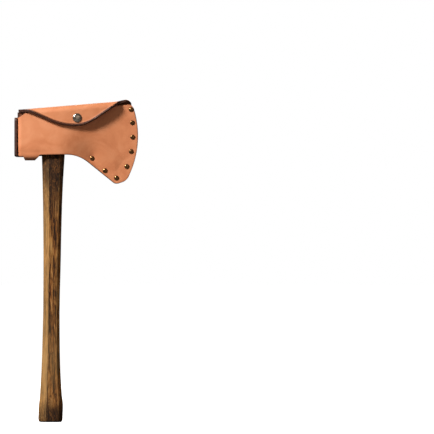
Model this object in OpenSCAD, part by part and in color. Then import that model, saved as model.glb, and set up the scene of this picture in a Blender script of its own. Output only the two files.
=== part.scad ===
// Carving hatchet in its riveted leather sheath.
// Millimetres. Origin: centre of the handle's end face. +Z runs up the handle,
// +X points at the cutting edge, and the sheath's front, with the snap, faces -Y.

/* [Handle] */
// Height of the underside of the head's eye above the end of the handle
eye_bottom_z = 364; // [360:1:368]
// Width of the knob at the end of the handle, seen from the front
knob_w = 33; // [31:0.5:34]
// Width of the handle at its waist, seen from the front
waist_w = 22; // [20:0.5:25]
// Width of the handle where it meets the head, seen from the front
shoulder_w = 31; // [29:0.5:32]
// Thickness of the handle at its knob, front to back
knob_t = 26; // [24:0.5:27]
// Thickness of the handle at its waist, front to back
waist_t = 19.5; // [18:0.5:22]

/* [Head] */
// Half thickness of the head at its eye
eye_half_t = 13; // [12:0.25:13.5]
// Length of the eye, front to back of the head
eye_len = 30; // [28:0.5:31]
// Width of the eye
eye_w = 17.6; // [16:0.2:19]
// Radius of the curved cutting edge
edge_r = 130; // [125:1:135]
// Half thickness of the blade where its bevel starts
bevel_half_t = 1.9; // [1.5:0.1:2.2]
// Width of the ground bevel
bevel_w = 12; // [8:1:16]

/* [Sheath] */
// Thickness of the leather
leather_t = 3; // [2.5:0.1:3.2]
// Half width of the space inside the sheath at the eye of the head
pouch_half_w = 15; // [14.5:0.25:15.5]
// Half thickness of the welt that keeps the cutting edge off the stitch line
welt_half_t = 1.5; // [1.2:0.1:1.8]
// Gap between the front panel and the closed flap, which the snap fills
flap_gap = 2.2; // [2:0.1:2.8]
// Length of each belt slot
slot_len = 45; // [44:0.5:46]
// Width of each belt slot
slot_w = 5; // [4.8:0.1:6]
// Distance between the two belt slots
slot_pitch = 26.5; // [24:0.5:30]

/* [Fasteners] */
// Radius of a rivet's domed head
rivet_head_r = 3.4; // [3:0.1:3.6]
// Radius of a rivet's tubular shank
rivet_shank_r = 2; // [1.6:0.1:2.2]
// Radius of the cup washer under a rivet's rolled end
washer_r = 3.65; // [3.4:0.05:3.8]
// Radius of the snap's domed cap
snap_cap_r = 6.25; // [6:0.05:6.5]

/* [Hidden] */

$fn = 48;
far = 200;                      // longer than any piece of the sheath is from its middle
under_sheath_z = 300;           // lower than every piece of the sheath
over_sheath_z = under_sheath_z + far;
past_edge_x = 150;              // further out than the cutting edge
under_head_z = 350;             // lower than the head
past_head_h = 80;               // taller than the head
fit = 0.05;                     // radial room of a shank in its hole

// ---- handle and eye
head_x = 3.8;                   // the handle leans this far forward at the head
tenon_top_z = 420;
kerf_depth = 42;
kerf_top_w = 3.4;
kerf_foot_w = 1.2;
steel_wedge_depth = 18;
steel_wedge_top_w = 2.4;
steel_wedge_foot_w = 0.6;
wedge_top_z = tenon_top_z + 1;
// Stations up the handle: [height, centre x, width, thickness]
stations = [
    [0, 0, knob_w - 4, knob_t - 4], [1.6, 0, knob_w - 0.8, knob_t - 0.8],
    [5, 0, knob_w, knob_t], [22, 0.6, knob_w - 0.2, knob_t - 0.4],
    [28, 0.8, knob_w - 1.2, knob_t - 0.8], [31, 0.7, knob_w - 2.8, knob_t - 1.6],
    [42, 0.6, knob_w - 4.2, knob_t - 3], [56, 0.6, knob_w - 5.9, knob_t - 4],
    [76, 0.6, knob_w - 8, waist_t + 1.8], [100, 0.8, waist_w + 1.6, waist_t + 0.8],
    [148, 1.2, waist_w, waist_t], [190, 1.8, waist_w + 0.5, waist_t + 0.2],
    [225, 2.3, waist_w + 1.5, waist_t + 0.4], [265, 2.6, waist_w + 2.5, waist_t + 0.6],
    [300, 2.9, waist_w + 3.8, waist_t + 0.8], [335, 3.3, shoulder_w - 2.8, waist_t + 1],
    [eye_bottom_z - 0.4, head_x, shoulder_w, waist_t + 1]
];
// Share of the width that each long corner is cut back by: the left ones are broad
facet_left = 0.31;
facet_right = 0.17;
facet_left_t = 0.28;
facet_right_t = 0.18;

// ---- head
edge_centre = [-28, 390];
poll_x = -39;
cheek_len = 92;                 // from the bevel to where the cheek would be thickest
cheek_growth = 10.6;
cheek_power = 1.9;

// ---- sheath
poll_gap = 2;                   // room for the rolled rivet ends behind the poll
pouch_x = poll_x - poll_gap;
wedge_start_x = 25;             // forward of the eye the panels close towards the edge
wedge_end_x = 99.5;
seam_flat_r = 5.1;              // the panels lie flat this far round the beard seam
seam_slope = 0.7;
seam_reach = 60;
fold_left = [-43.2, 424.2];
fold_slope = 12.4 / 148;
flange_top_z = 413.8;
tab_x = [-35, -19];
tab_z = 354.7;
slot_centre = [15.85, 400.5];
flap_right = 105.5;
hinge_gap = 0.3;
welt_end_x = 53.5;              // the welt ends just behind the last rivet
front_top_drop = 5.5;           // the front panel stops this far under the fold
// Rivets along the edge from the toe down, then back up the beard: [x, z]
edge_rivets = [[110, 424.5], [111.5, 406.5], [112, 387], [110, 367.5],
               [104, 347], [90, 331.5], [74.5, 341.5], [57, 358]];
// The seam along the beard, where the panels close up
beard_seam = [[104, 347], [90, 331], [57, 357.2]];
poll_rivet_z = [369, 389, 409];
snap_at = [36.4, 413];
snap_post_r = 1.6;
wedge_angle = atan((pouch_half_w - welt_half_t) / (wedge_end_x - wedge_start_x));

function fold_z(x) = fold_left[1] + fold_slope * (x - fold_left[0]);
function unit(v) = v / norm(v);

// Points of the arc of radius r that rounds corner b between a and c
function corner(a, b, c, r) =
    let (u = unit(a - b), v = unit(c - b), half = acos(u * v) / 2,
         centre = b + unit(u + v) * r / sin(half),
         start = b + u * r / tan(half) - centre,
         turn = (u[0] * v[1] - u[1] * v[0]) > 0 ? -(180 - 2 * half) : 180 - 2 * half,
         steps = max(2, ceil(abs(turn) * sqrt(r) / 24)))
    [for (i = [0 : steps])
        let (t = turn * i / steps)
        centre + [start[0] * cos(t) - start[1] * sin(t), start[0] * sin(t) + start[1] * cos(t)]];

// A closed outline from corners [x, y, radius]
function rounded(pts) = [
    for (i = [0 : len(pts) - 1])
        let (n = len(pts), b = pts[i], a = pts[(i + n - 1) % n], c = pts[(i + 1) % n])
        each b[2] > 0
            ? corner([a[0], a[1]], [b[0], b[1]], [c[0], c[1]], b[2])
            : [[b[0], b[1]]]];

// ---- general shapes

// An x-z outline made solid across the thickness of the hatchet
module across(low_y, high_y, pts) {
    translate([0, high_y, 0]) rotate([90, 0, 0]) linear_extrude(high_y - low_y) polygon(pts);
}

// Turns something built along +Z so that it stands on the outside of a face at [x, z]
module on_front(at, y) { translate([at[0], y, at[1]]) rotate([90, 0, 0]) children(); }

module shank_hole(at, r) { on_front(at, far) cylinder(h = 2 * far, r = r); }

module ring(r_out, r_in, h) {
    rotate_extrude() translate([r_in, 0]) square([r_out - r_in, h]);
}

// ---- handle

// The carved section: an eight-sided outline, with its left corners cut broadest
function section(s) =
    let (x = s[1], w = s[2] / 2, t = s[3] / 2,
         l = s[2] * facet_left, r = s[2] * facet_right,
         lt = s[3] * facet_left_t, rt = s[3] * facet_right_t, z = s[0])
    [[x - w + l, -t, z], [x + w - r, -t, z], [x + w, -t + rt, z], [x + w, t - rt, z],
     [x + w - r, t, z], [x - w + l, t, z], [x - w, t - lt, z], [x - w, -t + lt, z]];

module carved_shaft() {
    n = len(section(stations[0]));
    levels = len(stations);
    polyhedron(
        points = [for (s = stations) each section(s)],
        faces = concat(
            [[for (k = [0 : n - 1]) k]],
            [for (i = [0 : levels - 2], k = [0 : n - 1])
                [i * n + k, (i + 1) * n + k, (i + 1) * n + (k + 1) % n, i * n + (k + 1) % n]],
            [[for (k = [n - 1 : -1 : 0]) (levels - 1) * n + k]]));
}

module eye_shape(grow) {
    a = eye_len / 2 + grow;
    b = eye_w / 2 + grow;
    r = b - 0.2;
    translate([head_x, 0]) polygon(rounded([[-a, -b, r], [a, -b, r], [a, b, r], [-a, b, r]]));
}

module kerf_wedge(top_z, top_w, foot_w, depth, len_x) {
    rotate([90, 0, 90]) translate([0, 0, head_x - len_x / 2]) linear_extrude(len_x)
        polygon([[-top_w / 2, top_z], [-foot_w / 2, top_z - depth],
                 [foot_w / 2, top_z - depth], [top_w / 2, top_z]]);
}

module steel_wedge_shape() {
    depth = steel_wedge_depth;
    translate([head_x, 0, 0])
        across(-6.5, 6.5, [[-steel_wedge_top_w / 2, wedge_top_z],
                           [steel_wedge_top_w / 2, wedge_top_z],
                           [steel_wedge_foot_w / 2, wedge_top_z - depth],
                           [-steel_wedge_foot_w / 2, wedge_top_z - depth]]);
}

module handle() {
    color("saddlebrown") difference() {
        union() {
            carved_shaft();
            translate([0, 0, eye_bottom_z - 0.4])
                linear_extrude(tenon_top_z - eye_bottom_z + 0.4) eye_shape(-fit);
        }
        kerf_wedge(tenon_top_z + 0.5, kerf_top_w, kerf_foot_w, kerf_depth, eye_len + 2);
        steel_wedge_shape();
    }
}

module wooden_wedge() {
    color("burlywood") difference() {
        kerf_wedge(tenon_top_z + 0.5, kerf_top_w, kerf_foot_w, kerf_depth, eye_len - 3);
        steel_wedge_shape();
    }
}

module steel_wedge() { color("dimgray") steel_wedge_shape(); }

// ---- head

// Half thickness of the blade at a distance in from the cutting edge
function blade_half_t(e) = e < bevel_w
    ? 0.12 + (bevel_half_t - 0.12) * e / bevel_w
    : bevel_half_t + cheek_growth * pow((e - bevel_w) / cheek_len, cheek_power);

// The blade is turned about the centre of its edge, so its bevel follows the curve
module blade() {
    depths = [0, bevel_w, 20, 30, 40, 50, 60, 70, 80, 90, 100];
    side = [for (e = depths) [edge_r - e, blade_half_t(e)]];
    other = [for (i = [len(depths) - 1 : -1 : 0]) [side[i][0], -side[i][1]]];
    translate([edge_centre[0], 0, edge_centre[1]]) rotate([90, 0, 0])
        rotate_extrude($fn = 180) polygon(concat(side, other));
}

module eye_block() {
    h = eye_half_t;
    half = [[poll_x, h - 1, 2.5], [-14, h, 30], [17, h, 18], [31, 7.4, 30], [48, 3.4, 0]];
    mirrored = [for (i = [len(half) - 1 : -1 : 0]) [half[i][0], -half[i][1], half[i][2]]];
    translate([0, 0, under_head_z]) linear_extrude(past_head_h) polygon(rounded(concat(half, mirrored)));
}

module head_profile() {
    across(-20, 20, rounded([
        [poll_x, 411.5, 3], [96.2, 428.5, 0], [109.8, 383.3, edge_r], [91.8, 339.6, 0],
        [77, 350, 60], [57, 370, 15], [24, eye_bottom_z, 60], [-14, eye_bottom_z, 60],
        [poll_x, 367, 3]]));
}

module axe_head() {
    color("slategray") difference() {
        intersection() {
            union() {
                blade();
                eye_block();
            }
            head_profile();
        }
        translate([0, 0, under_head_z]) linear_extrude(past_head_h) eye_shape(0);
    }
}

// ---- sheath

// Plan of the space inside the sheath, grown by off on every side
function pouch_plan(off, x) =
    let (w = pouch_half_w + off, e = welt_half_t + off,
         half = [[x - off, w, 2 + off], [wedge_start_x, w, 45], [wedge_end_x, e, 45],
                 [past_edge_x, e, 0]])
    rounded(concat(half, [for (i = [3 : -1 : 0]) [half[i][0], -half[i][1], half[i][2]]]));

// What is cut away on one side so that the panels close along the seam from a to b: a hip
// roof whose flat top follows the seam
module seam_cut(a, b, off, side) {
    long = norm(b - a);
    rise = seam_slope * seam_reach;
    low = side * (welt_half_t + off);
    high = side * (welt_half_t + off + rise);
    foot = seam_flat_r;
    wide = foot + seam_reach;
    translate([a[0], 0, a[1]]) rotate([0, -atan2(b[1] - a[1], b[0] - a[0]), 0]) intersection() {
        rotate([90, 0, 90]) translate([0, 0, -wide]) linear_extrude(long + 2 * wide)
            polygon([[low, -foot], [low, foot], [high, wide], [high, -wide]]);
        translate([0, 0, -wide]) linear_extrude(2 * wide)
            polygon([[-foot, low], [long + foot, low], [long + wide, high], [-wide, high]]);
    }
}

// The space inside the sheath, grown by off, with its poll end at x
module pouch(off, x) {
    difference() {
        translate([0, 0, under_sheath_z]) linear_extrude(far) polygon(pouch_plan(off, x));
        for (side = [-1, 1], i = [0 : len(beard_seam) - 2])
            seam_cut(beard_seam[i], beard_seam[i + 1], off, side);
    }
}

// Outline of a panel: the cutting edge and beard are the same on both
function panel_outline(top) = rounded(concat(top, [
    [126.7, 381.6, 125], [104, 327.8, 16], [88.5, 323, 8], [38, 364, 50], [-60, 360.2, 0]]));

module rivet_holes() { for (p = edge_rivets) shank_hole(p, rivet_shank_r + fit); }

module poll_holes() {
    for (z = poll_rivet_z) translate([-far, 0, z]) rotate([0, 90, 0])
        cylinder(h = far + poll_x, r = rivet_shank_r + fit);
}

// One side of the sheath, standing at -Y: its flange bends round the poll and reaches past
// the middle by reach
module side_panel(x, top, reach) {
    difference() {
        intersection() {
            pouch(leather_t, x);
            across(-far, far, panel_outline(top));
            union() {
                translate([-far, -far, 0]) cube([2 * far, far, over_sheath_z]);
                translate([-60, -10, 0]) cube([60 + x + 1, 10 + reach, over_sheath_z]);
            }
        }
        pouch(0, x);
    }
}

module back_panel() {
    drop = leather_t + hinge_gap;
    top = [[-60, flange_top_z, 0], [-45, flange_top_z, 1], [-45, fold_z(-45) - drop, 1],
           [111.1, fold_z(111.1) - drop, 2.5]];
    color("peru") difference() {
        mirror([0, 1, 0]) side_panel(pouch_x - leather_t, top, 13);
        rivet_holes();
        poll_holes();
        for (s = [-0.5, 0.5]) belt_slot(slot_centre[0] + s * slot_pitch);
    }
}

// A belt slot with round ends, cut through the back panel
module belt_slot(x) {
    half = slot_len / 2 - slot_w / 2;
    translate([x, 5, slot_centre[1]]) rotate([-90, 0, 0])
        linear_extrude(30) union() {
            square([slot_w, 2 * half], center = true);
            for (s = [-1, 1]) translate([0, s * half]) circle(d = slot_w);
        }
}

// The tab of the front panel that turns under the poll
module under_tab() {
    outer = pouch_half_w + leather_t;
    tab_top = 370;
    profile = rounded([
        [-outer, tab_top, 0], [-outer, tab_z, 7], [12, tab_z, 0], [12, tab_z + leather_t, 0],
        [-pouch_half_w, tab_z + leather_t, 4], [-pouch_half_w, tab_top, 0]]);
    rotate([90, 0, 90]) translate([0, 0, tab_x[0]]) linear_extrude(tab_x[1] - tab_x[0])
        polygon(profile);
}

module front_panel() {
    drop = front_top_drop;
    top = [[-60, flange_top_z, 0], [-43.8, flange_top_z, 0], [-41, fold_z(-41) - drop, 4],
           [111.1, fold_z(111.1) - drop, 2.5]];
    color("sandybrown") difference() {
        union() {
            side_panel(pouch_x, top, 10);
            under_tab();
        }
        rivet_holes();
        poll_holes();
        snap_place() cylinder(h = 20, r = snap_post_r + fit, center = true);
    }
}

// Leather strip between the panels: it keeps the sharp edge away from the rivets
module edge_welt() {
    pocket = rounded([[103, 460, 0], [103, 368, 70], [91.3, 335.3, 3], [50.4, 368.4, 0], [40, 460, 0]]);
    top = [[40, fold_z(40) - front_top_drop, 0], [111.1, fold_z(111.1) - front_top_drop, 2.5]];
    color("chocolate") difference() {
        intersection() {
            across(-welt_half_t, welt_half_t, panel_outline(top));
            across(-far, far, [[welt_end_x, under_sheath_z], [past_edge_x, under_sheath_z],
                               [past_edge_x, over_sheath_z], [welt_end_x, over_sheath_z]]);
        }
        across(-far, far, pocket);
        rivet_holes();
    }
}

// ---- flap

// The flap's plan, between two distances outside the space in the sheath
module flap_wall(inner, outer) {
    translate([0, 0, under_sheath_z]) linear_extrude(far) difference() {
        polygon(pouch_plan(outer, pouch_x - leather_t));
        polygon(pouch_plan(inner, pouch_x - leather_t));
    }
}

// The strip that passes over the top of the head, from the back panel's fold to the front
module flap_bridge() {
    left = fold_left[0];
    color("peru") intersection() {
        translate([0, 0, under_sheath_z]) linear_extrude(far) union() {
            intersection() {
                polygon(pouch_plan(leather_t, pouch_x - leather_t));
                translate([-far, 0]) square([2 * far, far]);
            }
            intersection() {
                polygon(pouch_plan(leather_t + flap_gap, pouch_x - leather_t));
                translate([-far, -far]) square([2 * far, far]);
            }
        }
        across(-far, far, [
            [left, fold_z(left) - leather_t], [left, fold_z(left)],
            [flap_right, fold_z(flap_right)], [flap_right, fold_z(flap_right) - leather_t]]);
    }
}

// The tongue hangs in front of the front panel and carries the snap
module flap_tongue() {
    left = fold_left[0];
    outline = rounded([
        [left, fold_z(left), 0], [left, fold_z(left) - 3.2, 0.8], [-28, 421.3, 40],
        [20, 402.5, 80], [54, 404.8, 60], [flap_right, fold_z(flap_right) - 0.6, 0],
        [flap_right, fold_z(flap_right), 0]]);
    color("sandybrown") difference() {
        intersection() {
            flap_wall(leather_t + flap_gap, 2 * leather_t + flap_gap);
            across(-far, 0, outline);
        }
        snap_place() cylinder(h = 40, r = 2.2 + fit, center = true);
    }
}

// ---- fasteners

// A rivet built along +Z from the top of its dome, through a stack of the given height
module rivet(stack) {
    dome_h = 1.5;
    rim_h = 0.6;
    bore_r = rivet_shank_r - 0.6;
    base = dome_h + stack;
    dome = [for (a = [0 : 15 : 90]) [rivet_head_r * sin(a), dome_h * (1 - cos(a))]];
    rotate_extrude() polygon(concat(dome, [
        [rivet_shank_r, dome_h], [rivet_shank_r, base], [rivet_shank_r + 0.8, base],
        [rivet_shank_r + 0.6, base + rim_h], [bore_r + 0.3, base + rim_h],
        [bore_r, base], [bore_r, dome_h + 1.5], [0, dome_h + 1.5]]));
}

edge_stack_h = 2 * (leather_t + welt_half_t);
edge_washer_h = 0.9;
poll_stack_h = 2 * leather_t;
poll_washer_h = 0.7;

module edge_rivet(i) {
    p = edge_rivets[i - 1];
    color("darkkhaki") translate([p[0], -edge_stack_h / 2 - 1.5, p[1]]) rotate([-90, 0, 0])
        rivet(edge_stack_h + edge_washer_h);
}

// A cup washer: a flat ring with a raised rim
module cup_washer(h) {
    ring(washer_r, rivet_shank_r + fit, h * 0.6);
    ring(washer_r, washer_r - 0.7, h);
}

module edge_washer(i) {
    p = edge_rivets[i - 1];
    color("silver") translate([p[0], edge_stack_h / 2, p[1]]) rotate([-90, 0, 0]) union() {
        ring(rivet_shank_r + 0.95, rivet_shank_r + fit, edge_washer_h);
        cup_washer(edge_washer_h);
    }
}

module poll_rivet(i) {
    outer_x = pouch_x - 2 * leather_t;
    color("darkkhaki") translate([outer_x - 1.5, 0, poll_rivet_z[i - 1]]) rotate([0, 90, 0])
        rivet(poll_stack_h + poll_washer_h);
}

module poll_washer(i) {
    color("silver") translate([pouch_x, 0, poll_rivet_z[i - 1]]) rotate([0, 90, 0])
        ring(washer_r, rivet_shank_r + fit, poll_washer_h);
}

// Puts something at the snap, on the front panel's outer face with +Z standing out of it
snap_face_y = -(leather_t + welt_half_t
                + (wedge_end_x - snap_at[0]) * tan(wedge_angle));
module snap_place() {
    translate([snap_at[0], snap_face_y, snap_at[1]]) rotate([0, 0, wedge_angle])
        rotate([90, 0, 0]) children();
}

// The gap that the socket fills, and the flap's thickness, both along the snap's own axis
snap_gap = flap_gap * cos(wedge_angle);
snap_leather = leather_t * cos(wedge_angle);

module snap_cap() {
    dome_h = 2.4;
    dome = [for (a = [0 : 10 : 90]) [snap_cap_r * sin(a), dome_h * cos(a)]];
    color("silver") snap_place() translate([0, 0, snap_gap + snap_leather]) rotate_extrude()
        polygon(concat([[0, -snap_leather - 0.4]], snap_cap_side(dome)));
}

// The side of the cap's profile: its short prong through the leather, then the dome inwards
function snap_cap_side(dome) = concat(
    [[2.2, -snap_leather - 0.4], [2.2, 0]], [for (i = [len(dome) - 1 : -1 : 0]) dome[i]]);

module snap_socket() {
    color("silver") snap_place() translate([0, 0, 0.5])
        difference() {
            ring(5.4, 2.5, snap_gap - 0.5);
            translate([0, 0, snap_gap - 0.9]) cylinder(h = 2, r = 2.6);
        }
}

module snap_stud() {
    color("silver") snap_place() union() {
        ring(4.6, snap_post_r + fit, 0.4);
        ring(2.3, snap_post_r + fit, 1.3);
    }
}

module snap_post() {
    depth = leather_t * cos(wedge_angle) + 0.8;
    color("silver") snap_place() union() {
        translate([0, 0, -depth]) cylinder(h = 0.8, r = 4.8);
        translate([0, 0, -depth]) cylinder(h = depth + 1.3, r = snap_post_r);
    }
}

axe_head();
handle();
wooden_wedge();
steel_wedge();
back_panel();
front_panel();
edge_welt();
flap_bridge();
flap_tongue();
edge_rivet(1);  // edge_rivet_1
edge_rivet(2);  // edge_rivet_2
edge_rivet(3);  // edge_rivet_3
edge_rivet(4);  // edge_rivet_4
edge_rivet(5);  // edge_rivet_5
edge_rivet(6);  // edge_rivet_6
edge_rivet(7);  // edge_rivet_7
edge_rivet(8);  // edge_rivet_8
edge_washer(1);  // edge_washer_1
edge_washer(2);  // edge_washer_2
edge_washer(3);  // edge_washer_3
edge_washer(4);  // edge_washer_4
edge_washer(5);  // edge_washer_5
edge_washer(6);  // edge_washer_6
edge_washer(7);  // edge_washer_7
edge_washer(8);  // edge_washer_8
poll_rivet(1);  // poll_rivet_1
poll_rivet(2);  // poll_rivet_2
poll_rivet(3);  // poll_rivet_3
poll_washer(1);  // poll_washer_1
poll_washer(2);  // poll_washer_2
poll_washer(3);  // poll_washer_3
snap_cap();
snap_socket();
snap_stud();
snap_post();
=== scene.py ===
"""A carving hatchet with its head in a riveted leather sheath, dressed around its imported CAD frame.

Lengths are written in millimetres and turned to metres by MM where a mesh is made. +Z runs up the
handle, +X points at the cutting edge and the front of the sheath faces -Y.
"""

import logging
import math
from dataclasses import dataclass
from enum import Enum
from typing import Callable, Iterable, Sequence

import bmesh
import bpy
import numpy as np
from mathutils import Matrix, Vector, geometry, noise

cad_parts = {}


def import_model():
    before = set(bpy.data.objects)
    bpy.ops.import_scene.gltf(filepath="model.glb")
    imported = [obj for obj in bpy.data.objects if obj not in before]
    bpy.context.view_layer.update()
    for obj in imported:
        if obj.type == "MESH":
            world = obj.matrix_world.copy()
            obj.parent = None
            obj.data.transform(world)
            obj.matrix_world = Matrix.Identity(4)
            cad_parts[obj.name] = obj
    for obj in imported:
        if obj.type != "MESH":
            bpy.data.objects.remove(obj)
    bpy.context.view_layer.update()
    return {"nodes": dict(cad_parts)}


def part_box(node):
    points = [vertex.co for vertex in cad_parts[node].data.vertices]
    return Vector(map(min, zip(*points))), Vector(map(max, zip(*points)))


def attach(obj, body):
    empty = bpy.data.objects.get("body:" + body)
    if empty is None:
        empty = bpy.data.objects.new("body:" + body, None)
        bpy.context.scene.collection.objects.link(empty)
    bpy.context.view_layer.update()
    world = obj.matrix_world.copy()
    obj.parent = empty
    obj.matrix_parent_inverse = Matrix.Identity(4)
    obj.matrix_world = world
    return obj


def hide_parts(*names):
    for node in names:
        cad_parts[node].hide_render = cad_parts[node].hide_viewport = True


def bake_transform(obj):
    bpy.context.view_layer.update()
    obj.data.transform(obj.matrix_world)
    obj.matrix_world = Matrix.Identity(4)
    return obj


LOG = logging.getLogger("hatchet")
MM = 0.001
ROW_PITCH = 0.866  # height of an even triangle, as a share of its side
Point2 = tuple[float, float]
Corner = tuple[float, float, float]
Colour = tuple[float, float, float, float]
NodeTree = bpy.types.NodeTree
Socket = bpy.types.NodeSocket
Material = bpy.types.Material
Piece = bpy.types.Object


# ---------------------------------------------------------------- colours and shader nodes


def srgb(code: str) -> Colour:
    """Turns an sRGB hex value into a linear colour.

    Args:
        code: Six hex digits after a hash.

    Returns:
        Linear red, green, blue and an alpha of 1.
    """
    parts = [int(code[i : i + 2], 16) / 255 for i in (1, 3, 5)]
    linear = [c / 12.92 if c <= 0.04045 else ((c + 0.055) / 1.055) ** 2.4 for c in parts]
    return (*linear, 1.0)


def per_mm(size: float) -> float:
    """The scale that gives a pattern this many millimetres per repeat on coordinates in metres."""
    return 1.0 / (size * MM)


def add(tree: NodeTree, kind: str, inputs: dict[str | int, object] | None = None,
        **settings: object) -> bpy.types.Node:
    """Adds a node with its settings, values and links.

    Args:
        tree: The node tree to add to.
        kind: The node's bl_idname.
        inputs: Socket name or index to a value, or to an output socket to link from.
        **settings: Properties of the node itself.

    Returns:
        The new node.
    """
    node = tree.nodes.new(kind)
    for name, value in settings.items():
        setattr(node, name, value)
    for key, value in (inputs or {}).items():
        socket = node.inputs[key]
        if isinstance(value, Socket):
            tree.links.new(value, socket)
        else:
            socket.default_value = value
    return node


def ramp(tree: NodeTree, factor: Socket, stops: Sequence[tuple[float, str]]) -> Socket:
    """Adds a colour ramp.

    Args:
        tree: The node tree.
        factor: The output that drives it.
        stops: Position and sRGB hex value of each stop.

    Returns:
        The ramp's colour output.
    """
    node = add(tree, "ShaderNodeValToRGB", {0: factor})
    elements = node.color_ramp.elements
    while len(elements) < len(stops):
        elements.new(0.5)
    for element, (position, code) in zip(elements, stops):
        element.position = position
        element.color = srgb(code)
    return node.outputs[0]


def mix(tree: NodeTree, factor: float | Socket, a: Colour | Socket, b: Colour | Socket,
        blend: str = "MIX") -> Socket:
    """Mixes two colours.

    Args:
        tree: The node tree.
        factor: Share of the second colour, a value or an output.
        a: The first colour or output.
        b: The second colour or output.
        blend: How they are mixed.

    Returns:
        The mixed colour output.
    """
    node = add(tree, "ShaderNodeMix", {0: factor, 6: a, 7: b}, data_type="RGBA", blend_type=blend)
    return node.outputs[2]


def scaled(tree: NodeTree, factor: Socket, low: float, high: float) -> Socket:
    """Maps an output from 0..1 to low..high.

    Args:
        tree: The node tree.
        factor: The output to map.
        low: Value at 0.
        high: Value at 1.

    Returns:
        The mapped output.
    """
    return add(tree, "ShaderNodeMapRange", {0: factor, 3: low, 4: high}).outputs[0]


def new_material(name: str) -> tuple[Material, NodeTree, bpy.types.Node]:
    """Makes an empty material.

    Args:
        name: The material's common name.

    Returns:
        The material, its tree and its Principled shader, already linked to the output.
    """
    material = bpy.data.materials.new(name)
    material.use_nodes = True
    tree = material.node_tree
    tree.nodes.clear()
    shader = add(tree, "ShaderNodeBsdfPrincipled")
    add(tree, "ShaderNodeOutputMaterial", {0: shader.outputs[0]})
    return material, tree, shader


def bump(tree: NodeTree, shader: bpy.types.Node, height: Socket, depth: float,
         strength: float = 1.0) -> None:
    """Gives a shader a bumped normal.

    Args:
        tree: The node tree.
        shader: The Principled shader.
        height: The output that holds the height, 0 to 1.
        depth: Height of a full step in millimetres.
        strength: How strongly it shows.
    """
    node = add(tree, "ShaderNodeBump", {"Height": height, "Strength": strength, "Distance": depth * MM})
    tree.links.new(node.outputs[0], shader.inputs["Normal"])


def noise_at(tree: NodeTree, coords: Socket, size: float, detail: float = 4.0, rough: float = 0.55,
             warp: float = 0.0, stretch: tuple[float, float, float] = (1.0, 1.0, 1.0)) -> Socket:
    """Adds noise of a real size.

    Args:
        tree: The node tree.
        coords: The coordinate output, in metres.
        size: Size of a feature in millimetres.
        detail: Octaves.
        rough: How strongly the finer octaves show.
        warp: Distortion.
        stretch: How much longer a feature is along each axis.

    Returns:
        The noise value output.
    """
    scale = tuple(1.0 / s for s in stretch)
    mapped = add(tree, "ShaderNodeMapping", {"Vector": coords, "Scale": scale}).outputs[0]
    node = add(tree, "ShaderNodeTexNoise", {"Vector": mapped, "Scale": per_mm(size), "Detail": detail,
                                            "Roughness": rough, "Distortion": warp})
    return node.outputs[0]


class LeatherFace(Enum):
    """The three surfaces that a cut piece of leather shows."""

    GRAIN = 0
    FLESH = 1
    EDGE = 2


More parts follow.
